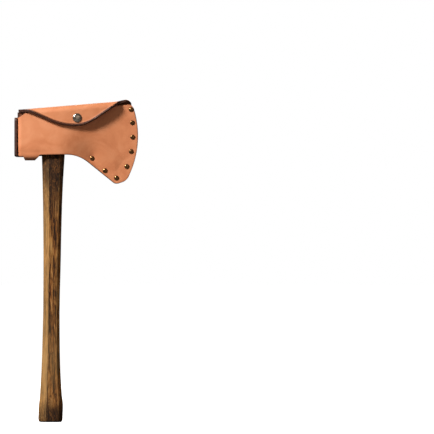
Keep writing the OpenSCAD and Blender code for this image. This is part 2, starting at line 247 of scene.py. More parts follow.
@dataclass(frozen=True)
class RussetLeather:
    """Vegetable-tanned russet leather: smooth grain with a soft wax shine, a matt flesh side and
    burnished cut edges. Its colour is even, a little darker where hands and edges rub."""

    light: str = "#e1976a"
    middle: str = "#d88a5c"
    dark: str = "#ca7b4f"
    rubbed: str = "#8a4c2e"
    edge: str = "#55301f"
    edge_dark: str = "#2c1610"
    flesh: str = "#8f4f2c"
    pore_mm: float = 0.7
    cloud_mm: float = 26.0

    def grain(self) -> Material:
        """The smooth outer side.

        Returns:
            The material.
        """
        material, tree, shader = new_material("vegetable-tanned leather, grain side")
        coords = add(tree, "ShaderNodeTexCoord").outputs["Object"]
        cloud = noise_at(tree, coords, self.cloud_mm, 5.0, 0.6, 0.6)
        colour = ramp(tree, cloud, [(0.3, self.dark), (0.5, self.middle), (0.72, self.light)])
        fine = noise_at(tree, coords, 3.5, 6.0, 0.7)
        colour = mix(tree, scaled(tree, fine, 0.0, 0.12), colour, srgb(self.dark), "MULTIPLY")
        rub = add(tree, "ShaderNodeAttribute", attribute_name="rub").outputs["Fac"]
        ragged = add(tree, "ShaderNodeMath", {0: rub, 1: scaled(tree, fine, 0.65, 1.25)},
                     operation="MULTIPLY").outputs[0]
        colour = mix(tree, ragged, colour, srgb(self.rubbed))
        # dark band painted from the attribute: a burnished rim on the flap widened by painted shade under its
        # edge, and painted shade on the tab's underside
        dyed = add(tree, "ShaderNodeAttribute", attribute_name="dyed").outputs["Fac"]
        colour = mix(tree, dyed, colour, srgb(self.edge_dark))
        tree.links.new(colour, shader.inputs["Base Color"])
        pores = add(tree, "ShaderNodeTexVoronoi", {"Vector": coords, "Scale": per_mm(self.pore_mm)},
                    feature="DISTANCE_TO_EDGE").outputs[0]
        creased = noise_at(tree, coords, 9.0, 5.0, 0.6, 1.4)
        height = add(tree, "ShaderNodeMath", {0: scaled(tree, pores, 0.0, 1.6), 1: creased},
                     operation="ADD").outputs[0]
        bump(tree, shader, height, 0.05, 0.7)
        tree.links.new(scaled(tree, fine, 0.4, 0.62), shader.inputs["Roughness"])
        shader.inputs["Specular IOR Level"].default_value = 0.3
        shader.inputs["Coat Weight"].default_value = 0.12
        shader.inputs["Coat Roughness"].default_value = 0.42
        return material

    def flesh_side(self) -> Material:
        """The napped inner side: matt, fibrous and uneven.

        Returns:
            The material.
        """
        material, tree, shader = new_material("vegetable-tanned leather, flesh side")
        coords = add(tree, "ShaderNodeTexCoord").outputs["Object"]
        nap = noise_at(tree, coords, 1.4, 8.0, 0.75, 0.8)
        colour = ramp(tree, nap, [(0.3, self.edge), (0.55, self.flesh), (0.75, self.middle)])
        tree.links.new(colour, shader.inputs["Base Color"])
        bump(tree, shader, nap, 0.25, 0.8)
        shader.inputs["Roughness"].default_value = 0.92
        shader.inputs["Sheen Weight"].default_value = 0.25
        return material

    def cut_edge(self) -> Material:
        """The cut edge: rubbed dark and smooth, with fine lines along the sheet's fibres.

        Returns:
            The material.
        """
        material, tree, shader = new_material("vegetable-tanned leather, burnished edge")
        coords = add(tree, "ShaderNodeTexCoord").outputs["Object"]
        fibres = noise_at(tree, coords, 0.8, 6.0, 0.7, 0.4, (6.0, 1.0, 6.0))
        colour = ramp(tree, fibres, [(0.36, self.edge_dark), (0.66, self.edge), (0.88, self.rubbed)])
        tree.links.new(colour, shader.inputs["Base Color"])
        bump(tree, shader, fibres, 0.12, 0.6)
        shader.inputs["Roughness"].default_value = 0.5
        return material

    def faces(self) -> list[Material]:
        """The three materials, in the order of LeatherFace."""
        return [self.grain(), self.flesh_side(), self.cut_edge()]


@dataclass(frozen=True)
class WeatheredHickory:
    """Old oiled hickory: long dark and light growth streaks, open pores as dark dashes, arrises
    rubbed pale by hands, faces made paler with painted light where the lamp falls, a dark mottled end that
    has taken up dirt and oil, and painted shade darkening the top under the sheath."""

    pale: str = "#bd9158"
    straw: str = "#a67437"
    brown: str = "#7f5122"
    dark: str = "#432812"
    black: str = "#1b0f06"
    ruddy: str = "#9a5c22"
    streak_mm: float = 1.35
    streak_length: float = 17.0

    def material(self) -> Material:
        """The handle's wood.

        Returns:
            The material.
        """
        material, tree, shader = new_material("weathered hickory")
        coords = add(tree, "ShaderNodeTexCoord").outputs["Object"]
        along = (1.0, 1.0, self.streak_length)
        broad = noise_at(tree, coords, self.streak_mm * 2.6, 3.0, 0.5, 0.5, along)
        streak = noise_at(tree, coords, self.streak_mm, 6.0, 0.68, 0.9, along)
        both = add(tree, "ShaderNodeMath", {0: scaled(tree, broad, -0.22, 0.3), 1: streak},
                   operation="ADD").outputs[0]
        colour = ramp(tree, both, [(0.43, self.black), (0.49, self.dark), (0.54, self.brown),
                                   (0.6, self.straw), (0.7, self.pale)])
        warm = noise_at(tree, coords, 9.0, 3.0, 0.6, 1.2, (1.0, 1.0, 12.0))
        colour = mix(tree, scaled(tree, warm, -0.35, 0.75), colour, srgb(self.ruddy), "OVERLAY")
        pores = noise_at(tree, coords, 0.55, 3.0, 0.5, 0.0, (1.0, 1.0, 22.0))
        pore_mask = ramp(tree, pores, [(0.56, "#ffffff"), (0.66, "#4a3325")])
        colour = mix(tree, 0.75, colour, pore_mask, "MULTIPLY")
        # the attribute rub paints the wood paler: real wear at the arrises and the grip, and painted light on
        # the faces turned to the lamp
        worn = add(tree, "ShaderNodeAttribute", attribute_name="rub").outputs["Fac"]
        patchy = noise_at(tree, coords, 5.0, 4.0, 0.6, 0.6, (1.0, 1.0, 7.0))
        worn = add(tree, "ShaderNodeMath", {0: worn, 1: scaled(tree, patchy, 0.1, 1.3)},
                   operation="MULTIPLY").outputs[0]
        colour = mix(tree, worn, colour, srgb(self.pale))
        char = noise_at(tree, coords, 3.2, 6.0, 0.72, 1.4, (1.0, 1.0, 9.0))
        burnt = add(tree, "ShaderNodeMapRange", {0: char, 1: 0.54, 2: 0.67, 3: 0.0, 4: 0.85}).outputs[0]
        burnt = add(tree, "ShaderNodeMath", {0: burnt, 1: scaled(tree, worn, 1.0, 0.15)},
                    operation="MULTIPLY").outputs[0]
        colour = mix(tree, burnt, colour, srgb(self.black))
        # darker at the foot from dirt and oil, and at the top from painted shade where the sheath shades the
        # handle, mottled by the burl noise
        grime = add(tree, "ShaderNodeAttribute", attribute_name="grime").outputs["Fac"]
        burl = noise_at(tree, coords, 4.5, 7.0, 0.75, 1.8, (1.0, 1.0, 2.6))
        burl_colour = ramp(tree, burl, [(0.46, self.black), (0.56, self.dark), (0.66, self.brown),
                                        (0.8, self.straw)])
        ragged = add(tree, "ShaderNodeMath", {0: grime, 1: scaled(tree, burl, -0.8, 0.8)},
                     operation="ADD").outputs[0]
        soaked = add(tree, "ShaderNodeMapRange", {0: ragged, 1: 0.2, 2: 0.75, 3: 0.0, 4: 0.95}).outputs[0]
        colour = mix(tree, soaked, colour, burl_colour)
        tree.links.new(colour, shader.inputs["Base Color"])
        height = add(tree, "ShaderNodeMath", {0: streak, 1: scaled(tree, pores, 0.6, 0.0)},
                     operation="ADD").outputs[0]
        height = add(tree, "ShaderNodeMath", {0: height, 1: scaled(tree, burnt, 0.0, -1.0)},
                     operation="ADD").outputs[0]
        bump(tree, shader, height, 0.35, 0.85)
        tree.links.new(scaled(tree, streak, 0.85, 0.6), shader.inputs["Roughness"])
        shader.inputs["Specular IOR Level"].default_value = 0.2
        return material


@dataclass(frozen=True)
class PlainSawnWedge:
    """A sawn hardwood wedge: pale, dry, with short straight grain."""

    pale: str = "#b48d62"
    brown: str = "#7c5836"

    def material(self) -> Material:
        """The wooden wedge's wood.

        Returns:
            The material.
        """
        material, tree, shader = new_material("sawn maple")
        coords = add(tree, "ShaderNodeTexCoord").outputs["Object"]
        grain = noise_at(tree, coords, 1.2, 5.0, 0.6, 0.4, (1.0, 1.0, 14.0))
        colour = ramp(tree, grain, [(0.35, self.brown), (0.65, self.pale)])
        tree.links.new(colour, shader.inputs["Base Color"])
        bump(tree, shader, grain, 0.1, 0.6)
        shader.inputs["Roughness"].default_value = 0.75
        return material


@dataclass(frozen=True)
class ForgedSteel:
    """Forged carbon steel: a dark oiled scale on the cheeks, worn bright on the corners, with the
    bevel ground and stropped to a clean satin."""

    scale_dark: str = "#2b2b2d"
    scale_light: str = "#4b4a4a"
    rust: str = "#4a3428"
    ground: str = "#b9babb"
    grind_mm: float = 0.35

    def material(self) -> Material:
        """The head's steel; its ground bevel is where the attribute "ground" is 1.

        Returns:
            The material.
        """
        material, tree, shader = new_material("forged carbon steel")
        coords = add(tree, "ShaderNodeTexCoord").outputs["Object"]
        scale = noise_at(tree, coords, 7.0, 8.0, 0.66, 0.9)
        skin = ramp(tree, scale, [(0.34, self.scale_dark), (0.55, self.scale_light), (0.78, self.rust)])
        lines = noise_at(tree, coords, self.grind_mm, 3.0, 0.6, 0.0, (60.0, 1.0, 1.0))
        bright = mix(tree, scaled(tree, lines, 0.0, 0.5), srgb(self.ground), srgb(self.scale_light))
        ground = add(tree, "ShaderNodeAttribute", attribute_name="ground").outputs["Fac"]
        rub = add(tree, "ShaderNodeAttribute", attribute_name="rub").outputs["Fac"]
        shown = add(tree, "ShaderNodeMath", {0: ground, 1: rub}, operation="MAXIMUM").outputs[0]
        tree.links.new(mix(tree, shown, skin, bright), shader.inputs["Base Color"])
        shader.inputs["Metallic"].default_value = 1.0
        rough = mix(tree, shown, (0.52, 0.52, 0.52, 1.0), (0.26, 0.26, 0.26, 1.0))
        tree.links.new(rough, shader.inputs["Roughness"])
        coarse, fine = scaled(tree, scale, 0.0, 1.0), scaled(tree, lines, 0.0, 0.12)
        height = add(tree, "ShaderNodeMath", {0: coarse, 1: fine}, operation="ADD").outputs[0]
        bump(tree, shader, height, 0.16, 0.5)
        return material


@dataclass(frozen=True)
class PlatedMetal:
    """Plated brass: a bright thin plate that dulls and stains in patches as it is handled."""

    name: str
    bright: str
    dull: str
    roughness: float

    def material(self) -> Material:
        """The plate, as a metal with cloudy tarnish.

        Returns:
            The material.
        """
        material, tree, shader = new_material(self.name)
        coords = add(tree, "ShaderNodeTexCoord").outputs["Object"]
        tarnish = noise_at(tree, coords, 2.4, 6.0, 0.65, 0.8)
        colour = ramp(tree, tarnish, [(0.38, self.dull), (0.62, self.bright)])
        tree.links.new(colour, shader.inputs["Base Color"])
        shader.inputs["Metallic"].default_value = 1.0
        rough = scaled(tree, tarnish, self.roughness * 1.6, self.roughness * 0.8)
        tree.links.new(rough, shader.inputs["Roughness"])
        bump(tree, shader, tarnish, 0.03, 0.4)
        return material


# ---------------------------------------------------------------- outlines and meshes


def rounded(corners: Sequence[Corner], arc_step: float = 2.0) -> list[Point2]:
    """Rounds the corners of a closed outline.

    Args:
        corners: Each corner as x, y and radius; a radius of 0 keeps it sharp.
        arc_step: Longest stretch of arc between two points.

    Returns:
        The outline's points.
    """
    points: list[Point2] = []
    count = len(corners)
    for i, (x, y, radius) in enumerate(corners):
        here = Vector((x, y))
        if radius <= 0:
            points.append((x, y))
            continue
        u = (Vector(corners[i - 1][:2]) - here).normalized()
        v = (Vector(corners[(i + 1) % count][:2]) - here).normalized()
        half = math.acos(max(-1.0, min(1.0, u.dot(v)))) / 2
        centre = here + (u + v).normalized() * (radius / math.sin(half))
        first = here + u * (radius / math.tan(half)) - centre
        swing = math.pi - 2 * half
        turn = -swing if u.x * v.y - u.y * v.x > 0 else swing
        steps = max(3, math.ceil(abs(turn) * radius / arc_step))
        for k in range(steps + 1):
            c, s = math.cos(turn * k / steps), math.sin(turn * k / steps)
            points.append((centre.x + first.x * c - first.y * s, centre.y + first.x * s + first.y * c))
    return points


def spaced(outline: Sequence[Point2], step: float) -> list[Point2]:
    """Adds points to a closed outline and drops doubles.

    Args:
        outline: The outline's points.
        step: Furthest that two points may be apart.

    Returns:
        The outline's new points.
    """
    points: list[Point2] = []
    for (ax, ay), (bx, by) in zip(outline, [*outline[1:], outline[0]]):
        length = math.hypot(bx - ax, by - ay)
        if length < step * 0.15:
            continue
        pieces = max(1, math.ceil(length / step))
        points += [(ax + (bx - ax) * k / pieces, ay + (by - ay) * k / pieces) for k in range(pieces)]
    return points


def circle(x: float, y: float, radius: float, count: int = 20) -> list[Point2]:
    """A round hole's outline."""
    turns = [2 * math.pi * k / count for k in range(count)]
    return [(x + radius * math.cos(t), y + radius * math.sin(t)) for t in turns]


def inside(points: np.ndarray, loop: np.ndarray) -> np.ndarray:
    """Which points lie inside a closed loop.

    Args:
        points: n by 2.
        loop: m by 2.

    Returns:
        n booleans.
    """
    x, y = points[:, 0][:, None], points[:, 1][:, None]
    ax, ay = loop[:, 0][None], loop[:, 1][None]
    bx, by = np.roll(loop[:, 0], -1)[None], np.roll(loop[:, 1], -1)[None]
    straddles = (ay > y) != (by > y)
    with np.errstate(divide="ignore", invalid="ignore"):
        crossing = (bx - ax) * (y - ay) / (by - ay) + ax
    return (straddles & (x < crossing)).sum(1) % 2 == 1


def distance(points: np.ndarray, loops: Sequence[np.ndarray]) -> np.ndarray:
    """Distance of each point from the nearest of several closed loops.

    Args:
        points: n by 2.
        loops: Each m by 2.

    Returns:
        n distances.
    """
    best = np.full(len(points), 1e9)
    for loop in loops:
        a = loop[None]
        d = (np.roll(loop, -1, axis=0) - loop)[None]
        p = points[:, None] - a
        t = np.clip((p * d).sum(2) / np.maximum((d * d).sum(2), 1e-12), 0, 1)
        best = np.minimum(best, np.linalg.norm(p - t[..., None] * d, axis=2).min(1))
    return best


def in_sheet(points: np.ndarray, loops: Sequence[np.ndarray]) -> np.ndarray:
    """Which points lie inside the first loop and outside the rest.

    Args:
        points: n by 2.
        loops: The outline, then its holes.

    Returns:
        n booleans.
    """
    keep = inside(points, loops[0])
    for hole in loops[1:]:
        keep &= ~inside(points, hole)
    return keep


def triangulated(outline: Sequence[Point2], holes: Sequence[Sequence[Point2]],
                 step: float) -> tuple[np.ndarray, np.ndarray, list[list[int]]]:
    """Fills an outline with an even triangle mesh.

    Args:
        outline: The closed outer outline.
        holes: Closed outlines left empty.
        step: Spacing of the points.

    Returns:
        Points as n by 2, triangles, and each loop as a list of point indices.
    """
    loops = [np.array(spaced(outline, step))] + [np.array(spaced(h, step)) for h in holes]
    low, high = loops[0].min(0), loops[0].max(0)
    rows = np.arange(low[1], high[1], step * ROW_PITCH)
    columns = np.arange(low[0], high[0], step)
    grid = np.array([(x + (step / 2 if j % 2 else 0), y) for j, y in enumerate(rows) for x in columns])
    grid = grid[in_sheet(grid, loops)]
    grid = grid[distance(grid, loops) > step * 0.6]
    edges, at = [], 0
    for loop in loops:
        n = len(loop)
        edges += [(at + k, at + (k + 1) % n) for k in range(n)]
        at += n
    coords = [Vector(p) for p in np.vstack([*loops, grid])]
    out, _, faces, origin, *_ = geometry.delaunay_2d_cdt(coords, edges, [], 0, 1e-5)
    points = np.array([tuple(p) for p in out])
    faces = np.array(faces)
    keep = in_sheet(points[faces].mean(1), loops)
    where = {source: k for k, sources in enumerate(origin) for source in sources}
    rings, at = [], 0
    for loop in loops:
        rings.append([where[at + k] for k in range(len(loop))])
        at += len(loop)
    faces = faces[keep]
    a, b, c = points[faces[:, 0]], points[faces[:, 1]], points[faces[:, 2]]
    area = (b[:, 0] - a[:, 0]) * (c[:, 1] - a[:, 1]) - (b[:, 1] - a[:, 1]) * (c[:, 0] - a[:, 0])
    faces[area < 0] = faces[area < 0][:, ::-1]
    return points, faces[np.abs(area) > 1e-7], rings


def mesh_object(name: str, verts: Iterable[Sequence[float]], faces: Iterable[Sequence[int]],
                materials: Sequence[Material] = ()) -> Piece:
    """Makes an object at the origin from points in metres.

    Args:
        name: The piece's name.
        verts: Points.
        faces: Faces as lists of point indices.
        materials: Its material slots.

    Returns:
        The object, linked to the scene.
    """
    mesh = bpy.data.meshes.new(name)
    mesh.from_pydata([tuple(v) for v in verts], [], [tuple(int(i) for i in f) for f in faces])
    mesh.update()
    for material in materials:
        mesh.materials.append(material)
    piece = bpy.data.objects.new(name, mesh)
    bpy.context.scene.collection.objects.link(piece)
    return piece


def face_outwards(piece: Piece) -> None:
    """Turns every face of a closed piece outwards.

    Args:
        piece: The piece, with a plain mesh.
    """
    work = bmesh.new()
    work.from_mesh(piece.data)
    bmesh.ops.recalc_face_normals(work, faces=work.faces)
    work.to_mesh(piece.data)
    work.free()


def set_attribute(piece: Piece, name: str, values: np.ndarray) -> None:
    """Stores one number per point on a piece."""
    attribute = piece.data.attributes.new(name, "FLOAT", "POINT")
    attribute.data.foreach_set("value", np.asarray(values, np.float32))


def finish_mesh(piece: Piece, sharp_deg: float = 40.0) -> Piece:
    """Applies a piece's modifiers, shades it smooth and marks its sharp edges.

    Args:
        piece: The piece.
        sharp_deg: Edges sharper than this stay sharp.

    Returns:
        The same object with a plain mesh.
    """
    graph = bpy.context.evaluated_depsgraph_get()
    mesh = bpy.data.meshes.new_from_object(piece.evaluated_get(graph))
    old = piece.data
    piece.modifiers.clear()
    piece.data = mesh
    mesh.name = piece.name
    bpy.data.meshes.remove(old)
    mesh.shade_smooth()
    mesh.set_sharp_from_angle(angle=math.radians(sharp_deg))
    return piece


def bevel(piece: Piece, width: float, segments: int = 2, angle_deg: float = 50.0) -> None:
    """Rounds a piece's sharp edges.

    Args:
        piece: The piece.
        width: Width of the rounding in millimetres.
        segments: Faces across it.
        angle_deg: Edges sharper than this are rounded.
    """
    modifier = piece.modifiers.new("rounded edges", "BEVEL")
    modifier.width = width * MM
    modifier.segments = segments
    modifier.limit_method = "ANGLE"
    modifier.angle_limit = math.radians(angle_deg)
    modifier.use_clamp_overlap = True


def lathe(profile: Sequence[Point2], turn: Matrix, segments: int = 28,
          closed: bool = False) -> tuple[list[Vector], list[tuple[int, ...]]]:
    """Spins a profile about its own Z axis.

    Args:
        profile: Radius and height of each point, in millimetres; ends on the axis unless closed.
        turn: Rotation that stands it up in the frame.
        segments: Faces round it.
        closed: True for a ring, whose profile is a closed loop.

    Returns:
        Points and faces of the turned part about its own origin, in metres.
    """
    verts, faces, rings = [], [], []
    for r, h in profile:
        if r < 1e-6:
            rings.append([len(verts)])
            verts.append(turn @ Vector((0, 0, h * MM)))
            continue
        rings.append(list(range(len(verts), len(verts) + segments)))
        for k in range(segments):
            a = 2 * math.pi * k / segments
            verts.append(turn @ Vector((r * MM * math.cos(a), r * MM * math.sin(a), h * MM)))
    pairs = list(zip(rings, rings[1:] + ([rings[0]] if closed else [])))
    for a, b in pairs[: len(rings) - (0 if closed else 1)]:
        for k in range(segments):
            n = (k + 1) % segments
            if len(a) == 1:
                faces.append((a[0], b[n], b[k]))
            elif len(b) == 1:
                faces.append((a[k], a[n], b[0]))
            else:
                faces.append((a[k], a[n], b[n], b[k]))
    return verts, faces


def lathed(name: str, profile: Sequence[Point2], turn: Matrix, material: Material, segments: int = 28,
           closed: bool = False) -> Piece:
    """Makes an object from a spun profile, with its normals outward.

    Args:
        name: The piece's name.
        profile: Radius and height of each point, in millimetres.
        turn: Rotation that stands it up in the frame.
        material: Its finish.
        segments: Faces round it.
        closed: True for a ring, whose profile is a closed loop.

    Returns:
        The piece, about its own origin.
    """
    verts, faces = lathe(profile, turn, segments, closed)
    piece = mesh_object(name, verts, faces, [material])
    face_outwards(piece)
    piece.data.shade_smooth()
    return piece


def arc(cx: float, cy: float, r: float, start: float, end: float, steps: int) -> list[Point2]:
    """Points of an arc, from start to end in degrees."""
    turns = [math.radians(start + (end - start) * k / steps) for k in range(steps + 1)]
    return [(cx + r * math.cos(t), cy + r * math.sin(t)) for t in turns]


def fastener_tree() -> NodeTree:
    """Builds the Geometry Nodes tree that sets one fastener at each point.

    Its inputs are the fastener, the axis it is turned about, how far it may be turned and the seed,
    and its material.

    Returns:
        The node group.
    """
    tree = bpy.data.node_groups.new("fasteners on points", "GeometryNodeTree")
    sockets = [("Geometry", "NodeSocketGeometry"), ("Fastener", "NodeSocketObject"),
               ("Axis", "NodeSocketVector"), ("Turn", "NodeSocketFloat"), ("Seed", "NodeSocketInt"),
               ("Material", "NodeSocketMaterial")]
    for name, kind in sockets:
        tree.interface.new_socket(name, in_out="INPUT", socket_type=kind)
    tree.interface.new_socket("Geometry", in_out="OUTPUT", socket_type="NodeSocketGeometry")
    given = add(tree, "NodeGroupInput").outputs
    fastener = add(tree, "GeometryNodeObjectInfo", {"Object": given["Fastener"]}).outputs["Geometry"]
    angle = add(tree, "FunctionNodeRandomValue", {2: 0.0, 3: given["Turn"], "Seed": given["Seed"]},
                data_type="FLOAT").outputs[1]
    turned = add(tree, "FunctionNodeAxisAngleToRotation", {"Axis": given["Axis"], "Angle": angle}).outputs[0]
    copies = add(tree, "GeometryNodeInstanceOnPoints",
                 {"Points": given["Geometry"], "Instance": fastener, "Rotation": turned}).outputs[0]
    real = add(tree, "GeometryNodeRealizeInstances", {0: copies}).outputs[0]
    painted = add(tree, "GeometryNodeSetMaterial",
                  {"Geometry": real, "Material": given["Material"]}).outputs[0]
    add(tree, "NodeGroupOutput", {0: painted})
    return tree


def set_on_points(name: str, points: Sequence[Vector], unit: Piece, axis: Vector,
                  seed: int, tree: NodeTree) -> Piece:
    """Puts a copy of one fastener at each point and makes one plain mesh of them.

    Args:
        name: The new piece's name.
        points: Where they go, in metres.
        unit: The fastener about its own origin; it is removed afterwards.
        axis: The fastener's own axis.
        seed: Seeds how each is turned.
        tree: The tree from fastener_tree().

    Returns:
        The new piece.
    """
    piece = mesh_object(name, points, [])
    modifier = piece.modifiers.new("fasteners", "NODES")
    modifier.node_group = tree
    values = {"Fastener": unit, "Axis": tuple(axis), "Turn": 2 * math.pi, "Seed": seed,
              "Material": unit.data.materials[0]}
    for item in tree.interface.items_tree:
        if item.in_out == "INPUT" and item.name in values:
            modifier[item.identifier] = values[item.name]
    finish_mesh(piece)
    bpy.data.objects.remove(unit)
    return piece


# ---------------------------------------------------------------- the sheath


@dataclass
class Sheath:
    """The leather sheath: a back panel that goes on over the head as the flap, and a front panel."""

    leather: RussetLeather
    thick: float = 3.0
    welt_half: float = 1.5
    soft: float = 6.0
    # half width of the space inside, and of the line the flap follows, along x
    swell: tuple[Point2, ...] = (
        (-60.0, 12.6), (-41.0, 12.7), (-25.0, 13.9), (-5.0, 14.4), (16.0, 14.4), (26.0, 13.9), (36.0, 12.3),
        (50.0, 9.2), (65.0, 6.3), (80.0, 4.1), (92.0, 2.7), (104.0, 1.8), (114.0, 1.5), (140.0, 1.5))
    flap_line: tuple[Point2, ...] = (
        (-60.0, 13.3), (-25.0, 14.0), (5.0, 14.4), (20.0, 14.2), (36.4, 12.9), (60.0, 11.4), (80.0, 9.7),
        (95.0, 8.3), (140.0, 5.2))
    seam_flat: float = 3.4
    seam_slope: float = 0.37
    flap_gap: float = 1.2
    fold_x: float = -43.2
    fold_z0: float = 424.2
    fold_slope: float = 12.4 / 148
    back_bend: float = 4.5
    front_bend: float = 6.5
    bridge_len: float = 50.0
    flap_left: float = -43.0
    flap_right: float = 107.6
    step: float = 1.6
    slot_x: tuple[float, float] = (2.6, 29.1)
    slot_z: tuple[float, float] = (378.2, 422.8)
    slot_w: float = 5.0
    flange_top: float = 413.4
    flange_low: float = 360.6
    tab_top: float = 364.4
    tab_bend: float = 7.6
    tab_end_x: float = -14.0
    tuck: float = 1.2
    curl: float = 3.5
    curl_w: float = 4.6
    toe_rise: float = 1.6
    toe_drop: float = 3.6
    toe_x: float = 111.1
    front_top_drop: float = 5.5
    # radius of each flange's bend round the poll, at the middle of the leather
    outer_flange_bend: float = 5.0
    inner_flange_bend: float = 3.5
    # the panels keep the shape that they have here all the way back to the poll
    steady_x: float = -40.0
    rivet_hole_r: float = 2.1

    def __post_init__(self) -> None:
        """Reads where the fasteners are from the frame."""
        self.rivets = [self.centre(f"edge_rivet_{i}") for i in range(1, 9)]
        self.poll_rivets = [self.centre(f"poll_rivet_{i}") for i in range(1, 4)]
        self.snap = self.centre("snap_cap")
        self.seam = np.array([(p.x, p.z) for p in self.rivets[4:]])
        self.tongue_line: np.ndarray | None = None
        self.tongue_flat: np.ndarray | None = None
        self.inner_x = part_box("front_panel")[0].x / MM + self.thick / 2
        self.outer_x = self.inner_x - self.thick

    @staticmethod
    def centre(node: str) -> Vector:
        """Middle of a CAD node, in millimetres."""
        low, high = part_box(node)
        return (low + high) / 2 / MM

    # -- the shape of the space inside

    def fold_z(self, x: float | np.ndarray) -> float | np.ndarray:
        """Height of the fold over the head, at x."""
        return self.fold_z0 + self.fold_slope * (x - self.fold_x)

    @staticmethod
    def eased(line: Sequence[Point2], x: np.ndarray) -> np.ndarray:
        """Reads a line of points, with its corners eased.

        Args:
            line: x and value of each point.
            x: Where to read it.

        Returns:
            The values at x.
        """
        at = np.array(line)
        shifts = np.linspace(-7, 7, 9)
        weights = np.exp(-((shifts / 4.0) ** 2))
        values = [w * np.interp(x + d, at[:, 0], at[:, 1]) for w, d in zip(weights, shifts)]
        return sum(values) / weights.sum()

    def flap_mid(self, x: np.ndarray) -> np.ndarray:
        """Distance of the middle of the hanging flap from the middle plane."""
        return self.eased(self.flap_line, x) + 1.5 * self.thick + self.flap_gap

    def smooth_min(self, a: np.ndarray, b: np.ndarray) -> np.ndarray:
        """The lesser of two lengths, with a soft change from one to the other."""
        h = np.clip(0.5 + 0.5 * (b - a) / self.soft, 0, 1)
        return b + (a - b) * h - self.soft * h * (1 - h)

    def half_width(self, x: np.ndarray, z: np.ndarray) -> np.ndarray:
        """Half thickness of the space inside the sheath.

        Args:
            x: Distances towards the edge.
            z: Heights.

        Returns:
            The distance from the middle plane to the leather's inner face.
        """
        width = self.eased(self.swell, x)
        along = np.full_like(x, 1e9)
        for a, b in zip(self.seam, self.seam[1:]):
            d = b - a
            t = np.clip(((x - a[0]) * d[0] + (z - a[1]) * d[1]) / (d @ d), 0, 1)
            along = np.minimum(along, np.hypot(x - a[0] - t * d[0], z - a[1] - t * d[1]))
        roof = self.welt_half + self.seam_slope * np.maximum(along - self.seam_flat, 0)
        width = self.smooth_min(width, roof + 0.35)
        width = width + 0.9 * np.exp(-((x - self.snap.x) ** 2 + (z - self.snap.z) ** 2) / 220.0)
        return np.maximum(width, self.welt_half)

    def mid(self, x: np.ndarray, z: np.ndarray) -> np.ndarray:
        """Where the middle of the leather lies, with a dimple at each rivet.

        Args:
            x: Distances towards the edge.
            z: Heights.

        Returns:
            Distances from the middle plane.
        """
        y = self.half_width(x, z) + self.thick / 2
        for p in self.rivets:
            y = y - 0.3 * np.exp(-((x - p.x) ** 2 + (z - p.z) ** 2) / 16.0)
        return y

    def unevenness(self, x: np.ndarray, z: np.ndarray, seed: float) -> np.ndarray:
        """A slow wave of the leather out of true.

        Args:
            x: Distances towards the edge.
            z: Heights.
            seed: Place in the noise, so that the panels differ.

        Returns:
            Distances in millimetres.
        """
        wave = [noise.noise(Vector((a / 34.0, seed, b / 30.0))) for a, b in zip(x, z)]
        inner = np.clip((self.half_width(x, z) - self.welt_half - 1.0) / 6.0, 0, 1)
        return 0.45 * np.array(wave) * inner

    # -- building a sheet

    def sheet(self, name: str, outline: Sequence[Point2], holes: Sequence[Sequence[Point2]],
              place: Callable[[np.ndarray], np.ndarray], outward: float) -> Piece:
        """Makes a solid piece of leather over a flat outline.

        Args:
            name: The piece's name.
            outline: Its outline on the flat, in millimetres.
            holes: Holes on the flat.
            place: Takes flat points, n by 2, and gives the middle of the leather, n by 3.
            outward: 1 if the grain is on the side of d/du cross d/dv, otherwise -1.

        Returns:
            The piece, with grain, flesh and edge materials and rounded edges.
        """
        flat, tris, rings = triangulated(outline, holes, self.step)
        middle = place(flat)
        h = 0.25
        du = place(flat + (h, 0)) - place(flat - (h, 0))
        dv = place(flat + (0, h)) - place(flat - (0, h))
        normal = np.cross(du, dv) * outward
        normal /= np.maximum(np.linalg.norm(normal, axis=1), 1e-9)[:, None]
        n = len(flat)
        verts = np.vstack([middle + normal * self.thick / 2, middle - normal * self.thick / 2]) * MM
        grain = [tuple(t) if outward > 0 else tuple(t[::-1]) for t in tris]
        flesh = [tuple(n + i for i in reversed(t)) for t in grain]
        rim = []
        for ring in rings:
            for a, b in zip(ring, ring[1:] + ring[:1]):
                rim.append((a, a + n, b + n, b))
        piece = mesh_object(name, verts, grain + flesh + rim, self.materials)
        kinds = ([LeatherFace.GRAIN.value] * len(grain) + [LeatherFace.FLESH.value] * len(flesh)
                 + [LeatherFace.EDGE.value] * len(rim))
        piece.data.polygons.foreach_set("material_index", kinds)
        near = distance(flat, [flat[r] for r in rings])
        rub = 0.4 * np.exp(-((near / 1.1) ** 2)) + 0.07 * np.exp(-near / 6.0)
        set_attribute(piece, "rub", np.tile(rub, 2))
        # painted dark band: burnish with painted shade on the flap's rim, painted shade on the tab
        set_attribute(piece, "dyed", np.tile(self.border(flat), 2))
        set_attribute(piece, "flat_u", np.tile(flat[:, 0], 2))
        set_attribute(piece, "flat_v", np.tile(flat[:, 1], 2))
        face_outwards(piece)
        bevel(piece, 0.55, 3)
        return finish_mesh(piece)

    def border(self, flat: np.ndarray) -> np.ndarray:
        """How dark the flap's rim and the front panel's tab are painted: a burnished rim widened
        by painted shade under the flap's edge, and painted shade on the tab's underside.

        Args:
            flat: Flat points, n by 2.

        Returns:
            n shares, 0 to 1.
        """
        if self.tongue_line is None:
            # painted shade on the tab's lower part, where it turns under the poll away from the light
            tab = np.clip((self.tab_top - 3 - flat[:, 1]) / 5, 0, 0.55)
            return np.where(flat[:, 0] < self.tab_end_x, tab, 0)
        low = np.interp(flat[:, 0], self.tongue_line[:, 0], self.tongue_flat)
        # the flap's rim: a burnished border widened by painted shade for the dark band under its edge
        rim = np.clip(2.3 - np.abs(low - flat[:, 1]) / 1.4, 0, 0.94)
        return np.where(flat[:, 1] > 0.3 * self.bridge_len, rim, 0)

    def side_outline(self) -> list[Corner]:
        """Corners that both panels share: the cutting edge, the beard and the open bottom."""
        return [(126.7, 381.6, 125.0), (104.0, 327.8, 16.0), (88.5, 323.0, 8.0), (38.0, 364.0, 50.0)]

